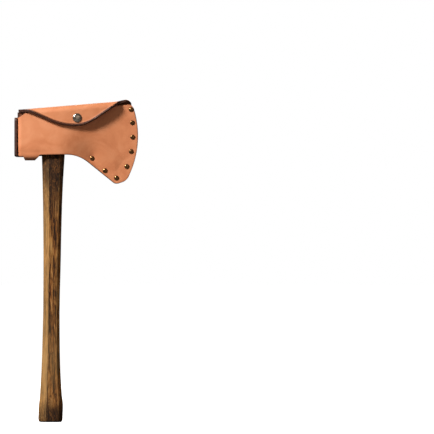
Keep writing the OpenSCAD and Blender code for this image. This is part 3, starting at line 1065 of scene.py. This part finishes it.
    def bent(self, s: np.ndarray, radius: float, face_x: float,
             side: float) -> tuple[np.ndarray, np.ndarray, np.ndarray]:
        """Plan of a panel whose flange bends round the poll.

        Args:
            s: Distance along the leather, equal to x on the panel itself.
            radius: Radius of the bend at the middle of the leather.
            face_x: Where the middle of the flange lies.
            side: 1 at the back, -1 at the front.

        Returns:
            x, what the bend adds to y, and how far each point is past the bend.
        """
        start = face_x + radius
        over = np.maximum(start - s, 0)
        angle = np.minimum(over / radius, math.pi / 2)
        straight = np.maximum(over - radius * math.pi / 2, 0)
        x = np.where(over > 0, start - radius * np.sin(angle), s)
        drop = radius * (1 - np.cos(angle)) + straight
        return x, side * -drop, straight

    # -- the back panel and flap, in one piece

    def over_the_top(self, flat: np.ndarray) -> np.ndarray:
        """Places the back panel and flap: v runs up the back, over the head and down the front.

        Args:
            flat: Flat points, n by 2.

        Returns:
            The middle of the leather, n by 3.
        """
        s, v = flat[:, 0], flat[:, 1]
        x, dy, straight = self.bent(s, self.outer_flange_bend, self.outer_x, 1.0)
        held = np.maximum(s, self.steady_x)
        top_z = self.fold_z(held) - self.thick / 2
        z = top_z - self.back_bend + np.minimum(v, 0)
        back_y = self.mid(held, z) + self.unevenness(held, z, 1.7) * np.clip(-v / 12, 0, 1)
        y = back_y + dy
        flared = x - 1.5 * (straight / 24.0) ** 2
        corner = self.toe_fall(s) * np.clip((v + 5) / 5, 0, 1)
        points = np.stack([flared, y, z - corner], 1)
        over = v > 0
        if over.any():
            points[over] = self.flap_points(s[over], x[over], v[over], y[over])
        return points

    def toe_fall(self, s: np.ndarray) -> np.ndarray:
        """How far the leather's corner falls at the toe, where s is the distance along the fold."""
        return self.toe_drop * np.clip((s - 103.5) / 5.5, 0, 1.2) ** 2

    def flap_points(self, s: np.ndarray, x_back: np.ndarray, v: np.ndarray,
                    y_back: np.ndarray) -> np.ndarray:
        """Places the part of the leather past the fold.

        Args:
            s: Distance along the fold.
            x_back: x at the top of the back panel.
            v: Distance past the fold, with bridge_len for the whole way over the head.
            y_back: y at the top of the back panel.

        Returns:
            The middle of the leather, n by 3.
        """
        top_z = self.fold_z(s) - self.thick / 2
        width = y_back + self.flap_mid(s)
        a, b = self.back_bend, self.front_bend
        quarter_a, quarter_b = a * math.pi / 2, b * math.pi / 2
        flat_len = width - a - b
        total = quarter_a + flat_len + quarter_b
        run = np.minimum(v / self.bridge_len, 1) * total
        first = np.clip(run / a, 0, math.pi / 2)
        last = np.clip((run - quarter_a - flat_len) / b, 0, math.pi / 2)
        level = np.clip(run - quarter_a, 0, flat_len)
        y = y_back - a * (1 - np.cos(first)) - level - b * np.sin(last)
        sag = 0.9 * np.sin(np.clip(level / flat_len, 0, 1) * math.pi) * np.clip(width / 30, 0, 1)
        z = top_z - a + a * np.sin(first) - b * (1 - np.cos(last)) - sag
        hang = np.maximum(v - self.bridge_len, 0)
        z = z - hang
        share = np.clip(v / self.bridge_len, 0, 1)
        above = z - np.interp(s, self.tongue_line[:, 0], self.tongue_line[:, 1])
        held = 1 - 0.3 * np.exp(-(((s - self.snap.x) / 22.0) ** 2))
        held = held * np.interp(s, [40, 95], [1.0, 0.6])
        curl = self.curl * held * (np.clip(self.curl_w - above, 0, self.curl_w) / self.curl_w) ** 2
        snap = np.exp(-((s - self.snap.x) ** 2 + (z - self.snap.z) ** 2) / 60.0)
        y = np.where(hang > 0, -self.flap_mid(s) + 0.35 * snap, y) - curl * np.clip((share - 0.6) / 0.3, 0, 1)
        rise = self.toe_rise * np.exp(-(((s - 102) / 7) ** 2)) * np.clip(v / 6, 0, 1)
        z = z + rise - self.toe_fall(s)
        x = x_back * (1 - share) + s * share
        return np.stack([x, y, z], 1)

    def back_v(self, x: float, z: float) -> float:
        """Flat coordinate of a point on the back panel."""
        held = max(x, self.steady_x)
        return z - (self.fold_z(held) - self.thick / 2 - self.back_bend)

    def front_v(self, x: float, z: float) -> float:
        """Flat coordinate of a point on the tongue in front.

        Args:
            x: Distance towards the edge.
            z: Height.

        Returns:
            The point's v.
        """
        top_z = self.fold_z(x) - self.thick / 2
        drop = top_z - z
        b = self.front_bend
        if drop >= b:
            return self.bridge_len + drop - b
        here, low = np.array([x]), np.array([top_z - self.back_bend])
        width = float(self.mid(here, low)[0] + self.flap_mid(here)[0])
        total = width - self.back_bend - b + (self.back_bend + b) * math.pi / 2
        angle = math.acos(max(0.0, min(1.0, 1 - max(drop, 0.0) / b)))
        return self.bridge_len * (total - b * (math.pi / 2 - angle)) / total

    def back_and_flap(self) -> Piece:
        """Makes the back panel and flap, with its belt slots and holes, as one piece of leather.

        Returns:
            The piece.
        """
        across = self.outer_x + self.outer_flange_bend - self.outer_flange_bend * math.pi / 2
        end = across - 24.5
        top_r = self.fold_z(self.toe_x) - self.thick - 0.3
        # the panel, from the flange's top corner round by the bottom to the top right corner
        shape = rounded([(end, self.flange_top, 4.0), (end, self.flange_low, 4.0),
                         *reversed(self.side_outline()), (self.toe_x, top_r, 1.5),
                         (self.flap_right + 1.2, top_r + 0.2, 0.0), (-44.6, 421.6, 0.0),
                         (-44.6, self.flange_top, 1.5)])
        outline = [(x, self.back_v(x, z)) for x, z in shape]
        corner = next(k for k, (x, z) in enumerate(shape) if abs(x - self.flap_right - 1.2) < 1e-6)
        # the tongue's lower edge, from the toe to the poll
        line = rounded([(94.4, 434.2, 0.0), (49.0, 402.6, 50.0), (17.0, 402.0, 80.0),
                        (-30.0, 422.8, 40.0), (self.flap_left, 422.9, 0.0)])
        tongue = [(ax + (bx - ax) * k / 8, az + (bz - az) * k / 8)
                  for (ax, az), (bx, bz) in zip(line, line[1:]) for k in range(8)] + [line[-1]]
        self.tongue_line = np.array(sorted(tongue))
        self.tongue_flat = np.array([self.front_v(x, z) for x, z in self.tongue_line])
        reach = self.bridge_len
        toe = [(109.3, 3.0), (109.0, 0.2 * reach), (107.0, 0.38 * reach), (102.5, 0.52 * reach)]
        flap = [*toe, *[(x, self.front_v(x, z)) for x, z in tongue], (self.flap_left, 3.0)]
        outline = outline[: corner + 1] + flap + outline[corner + 1 :]
        hole_r = self.rivet_hole_r
        holes = [circle(p.x, self.back_v(p.x, p.z), hole_r) for p in self.rivets]
        holes += [circle(across - 11.5 + p.y, self.back_v(across, p.z), hole_r) for p in self.poll_rivets]
        holes.append(circle(self.snap.x, self.front_v(self.snap.x, self.snap.z), 2.2, 16))
        half = self.slot_w / 2
        round_r = half * 0.99
        low, high = self.slot_z
        for x in self.slot_x:
            slot = rounded([(x - half, low, round_r), (x + half, low, round_r),
                            (x + half, high, round_r), (x - half, high, round_r)], 0.8)
            holes.append([(a, self.back_v(x, z)) for a, z in slot])
        piece = self.sheet("sheath_back_and_flap", outline, holes, self.over_the_top, -1.0)
        self.tongue_line = None
        return piece

    # -- the front panel

    def front_place(self, flat: np.ndarray) -> np.ndarray:
        """Places the front panel, with its tab turned under the poll.

        Args:
            flat: Flat points, n by 2: from the flange to the edge, and height.

        Returns:
            The middle of the leather, n by 3.
        """
        s, v = flat[:, 0], flat[:, 1]
        x, dy, _ = self.bent(s, self.inner_flange_bend, self.inner_x, -1.0)
        held = np.maximum(s, self.steady_x)
        over = np.where(s < self.tab_end_x, np.maximum(self.tab_top - v, 0), 0)
        z = v + over
        y = -self.mid(held, z) + self.unevenness(held, z, 5.3) + dy
        y = y + self.tuck * np.exp(-(((z - self.tab_top) / 5.0) ** 2)) * np.clip((10 - s) / 25, 0, 1)
        angle = np.minimum(over / self.tab_bend, math.pi / 2)
        run = np.maximum(over - self.tab_bend * math.pi / 2, 0)
        y = y + self.tab_bend * (1 - np.cos(angle)) + run
        z = z - self.tab_bend * np.sin(angle) + 0.004 * run**2
        return np.stack([x, y, z], 1)

    def front_top(self, x: float) -> float:
        """Height of the front panel's top edge, at x."""
        return self.fold_z(x) - self.front_top_drop

    def front(self) -> Piece:
        """Makes the front panel with its inner flange and the tab that turns under the poll.

        Returns:
            The piece.
        """
        across = self.inner_x + self.inner_flange_bend - self.inner_flange_bend * math.pi / 2
        end = across - 22.0
        tab_end = self.tab_top - self.tab_bend * math.pi / 2 - 21.0
        bend_end = self.tab_top - 9.0
        corners = [(end, self.flange_top, 3.0), (end, self.flange_low + 1, 3.0), (-36.4, 361.2, 1.5),
                   (-34.4, bend_end, 5.0), (-34.0, tab_end, 2.0), (-22.0, tab_end, 2.0),
                   (-20.5, bend_end, 7.0), (-13.5, 363.0, 5.0), *reversed(self.side_outline()),
                   (self.toe_x, self.front_top(self.toe_x), 5.5), (-34.0, self.front_top(-34.0), 6.0),
                   (-42.0, self.flange_top, 4.0)]
        holes = [circle(p.x, p.z, self.rivet_hole_r) for p in self.rivets]
        holes += [circle(across - 13.0 - p.y, p.z, self.rivet_hole_r) for p in self.poll_rivets]
        holes.append(circle(self.snap.x, self.snap.z, 1.7, 14))
        return self.sheet("sheath_front", rounded(corners), holes, self.front_place, 1.0)

    def welt(self) -> Piece:
        """Makes the leather strip between the panels.

        Returns:
            The piece.
        """
        keep = 53.5
        edge = rounded([*reversed(self.side_outline()), (self.toe_x, self.front_top(self.toe_x), 5.5)])
        edge = [p for p in edge if p[0] > keep + 1]
        pocket_x = 103.0
        pocket = rounded([(pocket_x, 440.0, 0.0), (pocket_x, 368.0, 70.0), (91.3, 335.3, 3.0),
                          (keep, 366.0, 0.0)])[1:]
        outline = [*edge, (pocket_x, self.front_top(pocket_x)), *pocket, (keep, 352.5)]
        outline = [(x, min(z, self.front_top(x))) for x, z in outline]

        def place(flat: np.ndarray) -> np.ndarray:
            """Lays the welt in the middle plane."""
            return np.stack([flat[:, 0], np.zeros(len(flat)), flat[:, 1]], 1)

        holes = [circle(p.x, p.z, self.rivet_hole_r) for p in self.rivets]
        piece = self.sheet("sheath_welt", outline, holes, place, 1.0)
        for polygon in piece.data.polygons:
            polygon.material_index = LeatherFace.EDGE.value
        return piece

    def build(self) -> None:
        """Makes every piece of leather and says what the front panel and welt ride on."""
        self.materials = self.leather.faces()
        back = self.back_and_flap()
        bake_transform(back)
        v = np.zeros(len(back.data.vertices), np.float32)
        back.data.attributes["flat_v"].data.foreach_get("value", v)
        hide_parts("back_panel", "flap_bridge", "flap_tongue")
        front, welt = self.front(), self.welt()
        for piece, node, slot in ((front, "front_panel", "russet_leather"),
                                  (welt, "edge_welt", "welt_leather")):
            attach(piece, "sheath")
            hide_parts(node)
        for piece in (back, front, welt):
            LOG.info("%s: %d faces", piece.name, len(piece.data.polygons))


@dataclass
class Fasteners:
    """Rivets, their cup washers and the snap."""

    sheath: Sheath
    brass: Material
    nickel: Material
    dome_h: float = 1.5
    wall: float = 0.6
    rim_h: float = 0.75
    snap_lean_deg: float = 7.0
    snap_sink: float = 0.9
    shank_r: float = 2.0
    washer_hole_r: float = 2.1

    def rivet_profile(self, head_r: float, shank_r: float, length: float) -> list[Point2]:
        """Profile of a tubular rivet from the top of its dome to its rolled end.

        Args:
            head_r: Radius of the dome.
            shank_r: Radius of the shank.
            length: From the top of the dome to the end.

        Returns:
            Radius and height of each point.
        """
        dome = [(head_r * math.sin(math.radians(a)), self.dome_h * (1 - math.cos(math.radians(a))))
                for a in range(0, 91, 10)]
        bore = shank_r - self.wall
        seat = length - self.rim_h
        roll_r = (shank_r + 0.75 - bore) / 2
        roll = arc(bore + roll_r, seat + 0.15, roll_r, -20, 200, 12)
        roll = [(r, seat + 0.15 + (h - seat - 0.15) * self.rim_h / roll_r * 0.8) for r, h in roll]
        under = [(head_r - 0.12, self.dome_h + 0.12), (shank_r, self.dome_h + 0.15), (shank_r, seat)]
        inside_bore = [(bore, seat - 1.0), (bore, self.dome_h + 2.2), (bore * 0.6, self.dome_h + 1.7),
                       (0.0, self.dome_h + 1.6)]
        return dome + under + roll + inside_bore

    def washer_profile(self, outer: float, inner: float, height: float) -> list[Point2]:
        """Profile of a cup washer.

        Args:
            outer: Radius of its rim.
            inner: Radius of its hole.
            height: Height of its rim.

        Returns:
            Radius and height of each point of a closed loop.
        """
        lip = height * 0.34
        rim = arc(outer - lip, height - lip, lip, 0, 180, 8)
        dish = [(outer - 2.4 * lip, height * 0.45), (inner + 0.5, height * 0.4), (inner + 0.1, height * 0.62)]
        return [(inner, 0.0), (outer - 0.1, 0.0), (outer, 0.12), *rim, *dish, (inner, height * 0.5)]

    def row(self, name: str, nodes: Sequence[str], axis: Vector, seed: int, washer: bool,
            tree: NodeTree) -> Piece:
        """Makes a row of rivets or washers where their CAD nodes are.

        Args:
            name: The new piece's name.
            nodes: The CAD nodes it replaces.
            axis: Direction from the dome to the rolled end.
            seed: Seeds how each is turned.
            washer: True for washers.
            tree: The fasteners' node tree.

        Returns:
            The piece, riding on the sheath.
        """
        low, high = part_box(nodes[0])
        size = (high - low) / MM
        length = abs(size.dot(axis))
        radius = max(size.x * (1 - abs(axis.x)), size.z) / 2
        turn = Vector((0, 0, 1)).rotation_difference(axis).to_matrix().to_4x4()
        if washer:
            profile = self.washer_profile(radius, self.washer_hole_r, length)
        else:
            profile = self.rivet_profile(radius, self.shank_r, length)
        unit = lathed(name + "_unit", profile, turn, self.nickel if washer else self.brass, 28, washer)
        points = []
        for node in nodes:
            low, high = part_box(node)
            points.append((low + high) / 2 - axis * length * MM / 2)
        piece = set_on_points(name, points, unit, axis, seed, tree)
        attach(piece, "sheath")
        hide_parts(*nodes)
        LOG.info("%s: %d set", name, len(points))
        return piece

    def snap_cap(self) -> Piece:
        """Makes the snap's domed cap, with a rolled rim, on the flap's outer face.

        Returns:
            The piece.
        """
        low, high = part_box("snap_cap")
        lean = math.radians(self.snap_lean_deg)
        out = Vector((math.sin(lean), -math.cos(lean), 0))
        radius = (high.z - low.z) / 2 / MM
        dome_h = 2.4
        rim = arc(radius - 0.45, 0.45, 0.45, -90, 70, 6)
        turns = [math.radians(a) for a in range(82, -1, -9)]
        dome = [((radius - 0.5) * math.sin(a), 0.55 + (dome_h - 0.55) * math.cos(a)) for a in turns]
        dome = [*dome[:-1], (0.0, dome_h)]
        profile = [(0.0, -3.6), (2.0, -3.6), (2.1, -3.3), (2.1, 0.0), *rim, *dome]
        turn = Vector((0, 0, 1)).rotation_difference(out).to_matrix().to_4x4()
        piece = lathed("snap_cap_dome", profile, turn, self.nickel, 40)
        centre = (low + high) / 2
        face = Vector((centre.x, low.y, centre.z)) - out * (dome_h + self.snap_sink) * MM
        piece.data.transform(Matrix.Translation(face))
        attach(piece, "flap")
        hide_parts("snap_cap")
        return piece

    def build(self) -> None:
        """Makes every fastener."""
        tree = fastener_tree()
        back, inward = Vector((0, 1, 0)), Vector((1, 0, 0))
        self.row("edge_rivets", [f"edge_rivet_{i}" for i in range(1, 9)], back, 3, False, tree)
        self.row("edge_washers", [f"edge_washer_{i}" for i in range(1, 9)], back, 4, True, tree)
        self.row("poll_rivets", [f"poll_rivet_{i}" for i in range(1, 4)], inward, 5, False, tree)
        self.row("poll_washers", [f"poll_washer_{i}" for i in range(1, 4)], inward, 6, True, tree)
        self.snap_cap()


# ---------------------------------------------------------------- the hatchet


@dataclass
class Handle:
    """The carved handle: eight long faces, cut by hand, that swell to a knob."""

    wood: Material
    rings: int = 300
    corner_r: float = 0.9
    # how much paler each long face is painted, from the front face round by the right: painted light, palest
    # on the left faces that turn to the lamp at the upper left
    painted_face_light: tuple[float, ...] = (0.0, 0.0, 0.1, 0.3, 0.15, 0.4, 0.6, 0.62)

    def stations(self) -> np.ndarray:
        """The places that set the handle's line.

        Returns:
            Height, centre, width and thickness at each, n by 4.
        """
        knob_w, knob_t, waist_w, waist_t, shoulder_w = 33.0, 26.0, 22.0, 19.5, 31.0
        return np.array([
            (0, 0, knob_w - 4, knob_t - 4), (1.6, 0, knob_w - 0.8, knob_t - 0.8), (5, 0, knob_w, knob_t),
            (22, 0.6, knob_w - 0.2, knob_t - 0.4), (28, 0.8, knob_w - 1.2, knob_t - 0.8),
            (31, 0.7, knob_w - 2.8, knob_t - 1.6), (42, 0.6, knob_w - 4.2, knob_t - 3),
            (56, 0.6, knob_w - 5.9, knob_t - 4), (76, 0.6, knob_w - 8, waist_t + 1.8),
            (100, 0.8, waist_w + 1.6, waist_t + 0.8), (148, 1.2, waist_w, waist_t),
            (190, 1.8, waist_w + 0.5, waist_t + 0.2), (225, 2.3, waist_w + 1.5, waist_t + 0.4),
            (265, 2.6, waist_w + 2.5, waist_t + 0.6), (300, 2.9, waist_w + 3.8, waist_t + 0.8),
            (335, 3.3, shoulder_w - 2.8, waist_t + 1), (363.6, 3.8, shoulder_w, waist_t + 1)], float)

    def section(self, z: float, x: float, w: float, t: float) -> list[tuple[float, float, float, float]]:
        """One ring of the carved shaft.

        Args:
            z: Height.
            x: Centre.
            w: Width.
            t: Thickness.

        Returns:
            x, y, z and how pale it is painted, from real wear at the arrises and painted light on the faces,
            for each point.
        """
        left, right, left_t, right_t = w * 0.31, w * 0.17, t * 0.28, t * 0.18
        sway = [0.35 * noise.noise(Vector((z / 42.0, k * 3.7, 0.5))) for k in range(8)]
        hw, ht = w / 2, t / 2
        corners = [(-hw + left + sway[0], -ht), (hw - right + sway[1], -ht), (hw, -ht + right_t + sway[2]),
                   (hw, ht - right_t + sway[3]), (hw - right + sway[4], ht), (-hw + left + sway[5], ht),
                   (-hw, ht - left_t + sway[6]), (-hw, -ht + left_t + sway[7])]
        ring = []
        for k, (cx, cy) in enumerate(corners):
            a, b = Vector(corners[k - 1]), Vector(corners[(k + 1) % 8])
            here = Vector((cx, cy))
            to_a, to_b = (a - here), (b - here)
            first = here + to_a.normalized() * self.corner_r
            last = here + to_b.normalized() * self.corner_r
            soft = (first + last) / 4 + here / 2
            # each face's painted light carries to its points; the arris between two faces is at least as pale
            # as either, plus real wear
            before, after = self.painted_face_light[k - 1], self.painted_face_light[k]
            arris = max(before, after, 0.2) + 0.25
            for point, worn in ((first, before), (soft, arris), (last, after), (here + to_b * 0.34, after),
                                (here + to_b * 0.66, after)):
                ring.append((x + point.x, point.y, z, worn))
        return ring

    def build(self) -> None:
        """Makes the shaft and its tenon and says that it replaces the CAD handle."""
        stations = self.stations()
        foot_h = 8
        levels = np.unique(np.concatenate([np.linspace(0, foot_h, 14),
                                           np.linspace(foot_h, stations[-1, 0], self.rings)]))
        columns = [np.interp(levels, stations[:, 0], stations[:, c]) for c in (1, 2, 3)]
        kernel = np.ones(9) / 9
        smooth = []
        for column in columns:
            padded = np.concatenate([np.full(4, column[0]), column, np.full(4, column[-1])])
            eased = np.convolve(padded, kernel, "valid")
            smooth.append(np.where(levels < 9, column, eased))
        verts, rub, grime = [], [], []
        for z, x, w, t in zip(levels, *smooth):
            ring = self.section(float(z), float(x), float(w), float(t))
            if not verts:
                size = len(ring)
            for px, py, pz, worn in ring:
                cut = 0.12 * noise.noise(Vector((px / 5.0, py / 5.0, pz / 26.0)))
                verts.append(((px + cut * np.sign(px)) * MM, (py + cut * np.sign(py)) * MM, pz * MM))
                # rub: painted light on the faces and real wear on the arrises, plus real wear where the hand
                # grips
                rub.append(min(worn + 0.34 * math.exp(-(((pz - 85) / 45) ** 2)), 1.0))
                # the foot darkens with dirt and oil; the top darkens towards the head as painted shade under
                # the sheath
                top, foot = min(max((pz - 205) / 130, 0.0), 1.0), min(max((40 - pz) / 30, 0.0), 1.0)
                kept = 1 - 0.45 * worn
                grime.append((0.8 * foot * foot * (3 - 2 * foot) + 0.95 * top * top) * kept)
        faces = []
        for i in range(len(levels) - 1):
            for k in range(size):
                n = (k + 1) % size
                faces.append((i * size + k, i * size + n, (i + 1) * size + n, (i + 1) * size + k))
        faces.append(tuple(range(size - 1, -1, -1)))
        last = (len(levels) - 1) * size
        faces.append(tuple(last + k for k in range(size)))
        piece = mesh_object("handle_carved", verts, faces, [self.wood])
        set_attribute(piece, "rub", np.array(rub))
        set_attribute(piece, "grime", np.array(grime))
        piece.data.shade_smooth()
        piece.data.set_sharp_from_angle(angle=math.radians(50))
        self.join_tenon(piece)
        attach(piece, "hatchet")
        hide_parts("handle")
        LOG.info("handle: %d faces", len(piece.data.polygons))

    def join_tenon(self, piece: Piece) -> None:
        """Adds the tenon that fills the eye, cut by its kerf, as two cheeks.

        Args:
            piece: The shaft.
        """
        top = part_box("handle")[1].z
        wedge_low, wedge_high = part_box("wooden_wedge")
        centre_x = (wedge_low.x + wedge_high.x) / 2
        half_x, half_y = 0.0149, 0.00875
        foot_z = 0.3632
        kerf_half = 0.002
        work = bmesh.new()
        work.from_mesh(piece.data)
        for side in (-1, 1):
            plan = []
            for x, y in rounded([(-half_x / MM, 0.9, 0.0), (half_x / MM, 0.9, 0.0),
                                 (half_x / MM, half_y / MM, 8.0), (-half_x / MM, half_y / MM, 8.0)], 1.5):
                plan.append((centre_x + x * MM, side * y * MM))
            base = [work.verts.new((x, y, foot_z)) for x, y in plan]
            cap = [work.verts.new((x, y * (1 if abs(y) > kerf_half else 1.9), top)) for x, y in plan]
            count = len(plan)
            for k in range(count):
                n = (k + 1) % count
                quad = (base[k], base[n], cap[n], cap[k])
                work.faces.new(quad if side > 0 else quad[::-1])
            work.faces.new(cap if side > 0 else cap[::-1])
            work.faces.new(base[::-1] if side > 0 else base)
        work.to_mesh(piece.data)
        work.free()


@dataclass
class Head:
    """The forged head: flat poll, eye, hollow cheeks and a curved edge with a beard."""

    steel: Material
    edge_r: float = 130.0
    edge_centre: Point2 = (-28.0, 390.0)
    bevel_w: float = 12.0
    step: float = 1.8

    def outline(self) -> list[Point2]:
        """The head seen from the side.

        Returns:
            The outline's points.
        """
        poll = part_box("axe_head")[0].x / MM
        return rounded([(poll, 411.5, 3.0), (96.2, 428.5, 0.0), (109.8, 383.3, self.edge_r),
                        (91.8, 339.6, 0.0), (77.0, 350.0, 60.0), (57.0, 367.6, 22.0), (24.0, 364.0, 60.0),
                        (-14.0, 364.0, 60.0), (poll, 367.0, 3.0)])

    def from_edge(self, flat: np.ndarray) -> np.ndarray:
        """Distance of each flat point in from the arc of the cutting edge."""
        return self.edge_r - np.hypot(flat[:, 0] - self.edge_centre[0], flat[:, 1] - self.edge_centre[1])

    def thickness(self, flat: np.ndarray) -> np.ndarray:
        """Half thickness of the head at points seen from the side.

        Args:
            flat: x and z, n by 2.

        Returns:
            n half thicknesses.
        """
        inward = np.maximum(self.from_edge(flat), 0)
        cheek = 1.9 + 10.6 * (np.maximum(inward - self.bevel_w, 0) / 92.0) ** 1.9
        blade = np.where(inward < self.bevel_w, 0.12 + 1.78 * inward / self.bevel_w, cheek)
        eye_x = [-39, -36, -14, 8, 17, 24, 31, 48, 60]
        eye = np.interp(flat[:, 0], eye_x, [11.6, 12.0, 12.95, 12.95, 12.6, 10.0, 7.3, 3.3, 0])
        blade = np.minimum(blade, 12.9)
        h = np.clip(0.5 + 0.5 * (eye - blade) / 3.0, 0, 1)
        return np.minimum(blade + (eye - blade) * h, 12.97)

    def build(self) -> None:
        """Makes the head with its eye cut through, and says that it replaces the CAD head."""
        flat, tris, rings = triangulated(self.outline(), [], self.step)
        half = self.thickness(flat)
        edge = distance(flat, [flat[rings[0]]])
        rough = np.array([noise.fractal(Vector((a / 14.0, 2.0, b / 14.0)), 0.8, 2.0, 3) for a, b in flat])
        calm = np.clip((half - 2.5) / 4, 0, 1) * np.clip(edge / 3, 0, 1)
        half = half - 0.14 * np.abs(rough) * calm
        n = len(flat)
        front = np.stack([flat[:, 0], -half, flat[:, 1]], 1)
        back = np.stack([flat[:, 0], half, flat[:, 1]], 1)
        faces = [tuple(t) for t in tris] + [tuple(n + i for i in reversed(t)) for t in tris]
        ring = rings[0]
        faces += [(a, a + n, b + n, b) for a, b in zip(ring, ring[1:] + ring[:1])]
        piece = mesh_object("axe_head_forged", np.vstack([front, back]) * MM, faces, [self.steel])
        ground = np.clip((self.bevel_w - self.from_edge(flat)) / 1.2, 0, 1)
        set_attribute(piece, "ground", np.tile(ground, 2))
        thick = np.clip((half - 2.0) / 4, 0, 1)
        set_attribute(piece, "rub", np.tile(0.75 * np.exp(-((edge / 1.2) ** 2)) * thick, 2))
        face_outwards(piece)
        bevel(piece, 0.9, 3, 60.0)
        finish_mesh(piece)
        self.cut_eye(piece)
        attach(piece, "hatchet")
        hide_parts("axe_head")
        LOG.info("head: %d faces", len(piece.data.polygons))

    def cut_eye(self, piece: Piece) -> None:
        """Cuts the eye down through the head.

        Args:
            piece: The head.
        """
        low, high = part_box("wooden_wedge")
        centre_x = (low.x + high.x) / 2
        plan = rounded([(-15.0, -8.8, 8.6), (15.0, -8.8, 8.6), (15.0, 8.8, 8.6), (-15.0, 8.8, 8.6)], 1.2)
        count = len(plan)
        verts = [(centre_x + x * MM, y * MM, z) for z in (0.35, 0.44) for x, y in plan]
        faces = [(k, (k + 1) % count, count + (k + 1) % count, count + k) for k in range(count)]
        faces += [tuple(range(count - 1, -1, -1)), tuple(range(count, 2 * count))]
        cutter = mesh_object("eye_cutter", verts, faces, [self.steel])
        modifier = piece.modifiers.new("eye", "BOOLEAN")
        modifier.operation = "DIFFERENCE"
        modifier.object = cutter
        modifier.solver = "EXACT"
        finish_mesh(piece)
        bpy.data.objects.remove(cutter)


# ---------------------------------------------------------------- studio


@dataclass
class Studio:
    """A pale floor, soft light from the upper left and a long lens square to the sheath's front."""

    distance: float = 7.0
    view_w: float = 0.5902
    centre: tuple[float, float] = (0.2265, 0.2785)
    floor_r: float = 14.0
    bounce: str = "#6d6a66"
    floor_glow: float = 0.95
    ambient: float = 0.12

    def camera(self) -> None:
        """Puts the camera square on, with the hatchet in the left of its view."""
        data = bpy.data.cameras.new("camera")
        data.sensor_width = 36.0
        data.lens = 36.0 * self.distance / self.view_w
        data.clip_end = 100.0
        camera = bpy.data.objects.new("camera", data)
        camera.location = (self.centre[0], -self.distance, self.centre[1])
        camera.rotation_euler = (math.pi / 2, 0, 0)
        bpy.context.scene.collection.objects.link(camera)
        bpy.context.scene.camera = camera

    def light(self, name: str, place: Vector, aim: Vector, size: float, power: float, tint: str) -> None:
        """Adds a soft square light.

        Args:
            name: Its name.
            place: Where it stands.
            aim: What it points at.
            size: Its side in metres.
            power: Its power in watts.
            tint: Its colour.
        """
        data = bpy.data.lights.new(name, "AREA")
        data.shape = "SQUARE"
        data.size = size
        data.energy = power
        data.color = srgb(tint)[:3]
        lamp = bpy.data.objects.new(name, data)
        lamp.location = place
        lamp.rotation_euler = (aim - place).to_track_quat("-Z", "Y").to_euler()
        bpy.context.scene.collection.objects.link(lamp)

    def floor(self) -> None:
        """Lays the pale floor that the handle stands on, bright enough to run into the background."""
        material, tree, shader = new_material("matt white board")
        coords = add(tree, "ShaderNodeTexCoord").outputs["Object"]
        seen = add(tree, "ShaderNodeLightPath").outputs["Is Camera Ray"]
        pale = ramp(tree, noise_at(tree, coords, 60.0), [(0.3, "#e9e8e6"), (0.7, "#efeeec")])
        tree.links.new(mix(tree, seen, srgb(self.bounce), pale), shader.inputs["Base Color"])
        shader.inputs["Roughness"].default_value = 0.9
        glow = add(tree, "ShaderNodeEmission", {"Color": (1, 1, 1, 1),
                                                "Strength": scaled(tree, seen, 0.0, self.floor_glow)})
        both = add(tree, "ShaderNodeAddShader", {0: shader.outputs[0], 1: glow.outputs[0]})
        end = next(node for node in tree.nodes if node.bl_idname == "ShaderNodeOutputMaterial")
        tree.links.new(both.outputs[0], end.inputs[0])
        sides, below = 96, -0.0006
        rim = [(x, y, below) for x, y in circle(0.0, 0.0, self.floor_r, sides)]
        mesh_object("studio_floor", rim, [tuple(range(sides))], [material])

    def surroundings(self) -> None:
        """Fills the space round the object with even pale light."""
        world = bpy.data.worlds.new("studio")
        bpy.context.scene.world = world
        world.use_nodes = True
        tree = world.node_tree
        tree.nodes.clear()
        seen = add(tree, "ShaderNodeBackground", {"Color": (1, 1, 1, 1), "Strength": 1.0})
        lit = add(tree, "ShaderNodeBackground", {"Color": srgb("#ffe9d6"), "Strength": self.ambient})
        straight = add(tree, "ShaderNodeLightPath").outputs["Is Camera Ray"]
        both = add(tree, "ShaderNodeMixShader", {0: straight, 1: lit.outputs[0], 2: seen.outputs[0]})
        add(tree, "ShaderNodeOutputWorld", {0: both.outputs[0]})

    def build(self) -> None:
        """Sets the camera, floor and lights."""
        bpy.context.scene.view_settings.view_transform = "Standard"
        self.camera()
        self.floor()
        self.surroundings()
        aim = Vector((0.03, 0.0, 0.3))
        self.light("key", Vector((-1.2, -1.2, 1.55)), aim, 0.45, 66.0, "#fdfdff")
        self.light("fill", Vector((0.7, -2.2, 0.8)), aim, 1.4, 3.0, "#ffead8")
        self.light("back", Vector((0.5, 1.9, 1.2)), aim, 1.4, 20.0, "#ffffff")


def dress_small_parts(nickel: Material, frame: dict) -> None:
    """Gives the CAD nodes that stay their finishes.

    Args:
        nickel: The snap's plate.
    """
    wedge_steel = PlatedMetal("plain mild steel", "#8d8c8a", "#4c4744", 0.34).material()
    finishes = {"wooden_wedge": PlainSawnWedge().material(), "steel_wedge": wedge_steel,
                "snap_socket": nickel, "snap_stud": nickel, "snap_post": nickel}
    for node, material in finishes.items():
        slots = frame["nodes"][node].material_slots
        for slot in slots:
            slot.material = material
        LOG.info("%s: %s", node, material.name)


def main() -> None:
    """Builds the hatchet, its sheath and the studio."""
    logging.basicConfig(level=logging.INFO, format="%(name)s: %(message)s")
    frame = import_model()
    nickel = PlatedMetal("polished nickel plate", "#d6cfc3", "#978a7c", 0.19).material()
    brass = PlatedMetal("antique brass plate", "#9a7449", "#553820", 0.22).material()
    sheath = Sheath(RussetLeather())
    sheath.build()
    Fasteners(sheath, brass, nickel).build()
    Handle(WeatheredHickory().material()).build()
    Head(ForgedSteel().material()).build()
    dress_small_parts(nickel, frame)
    Studio().build()


if __name__ == "__main__":
    main()
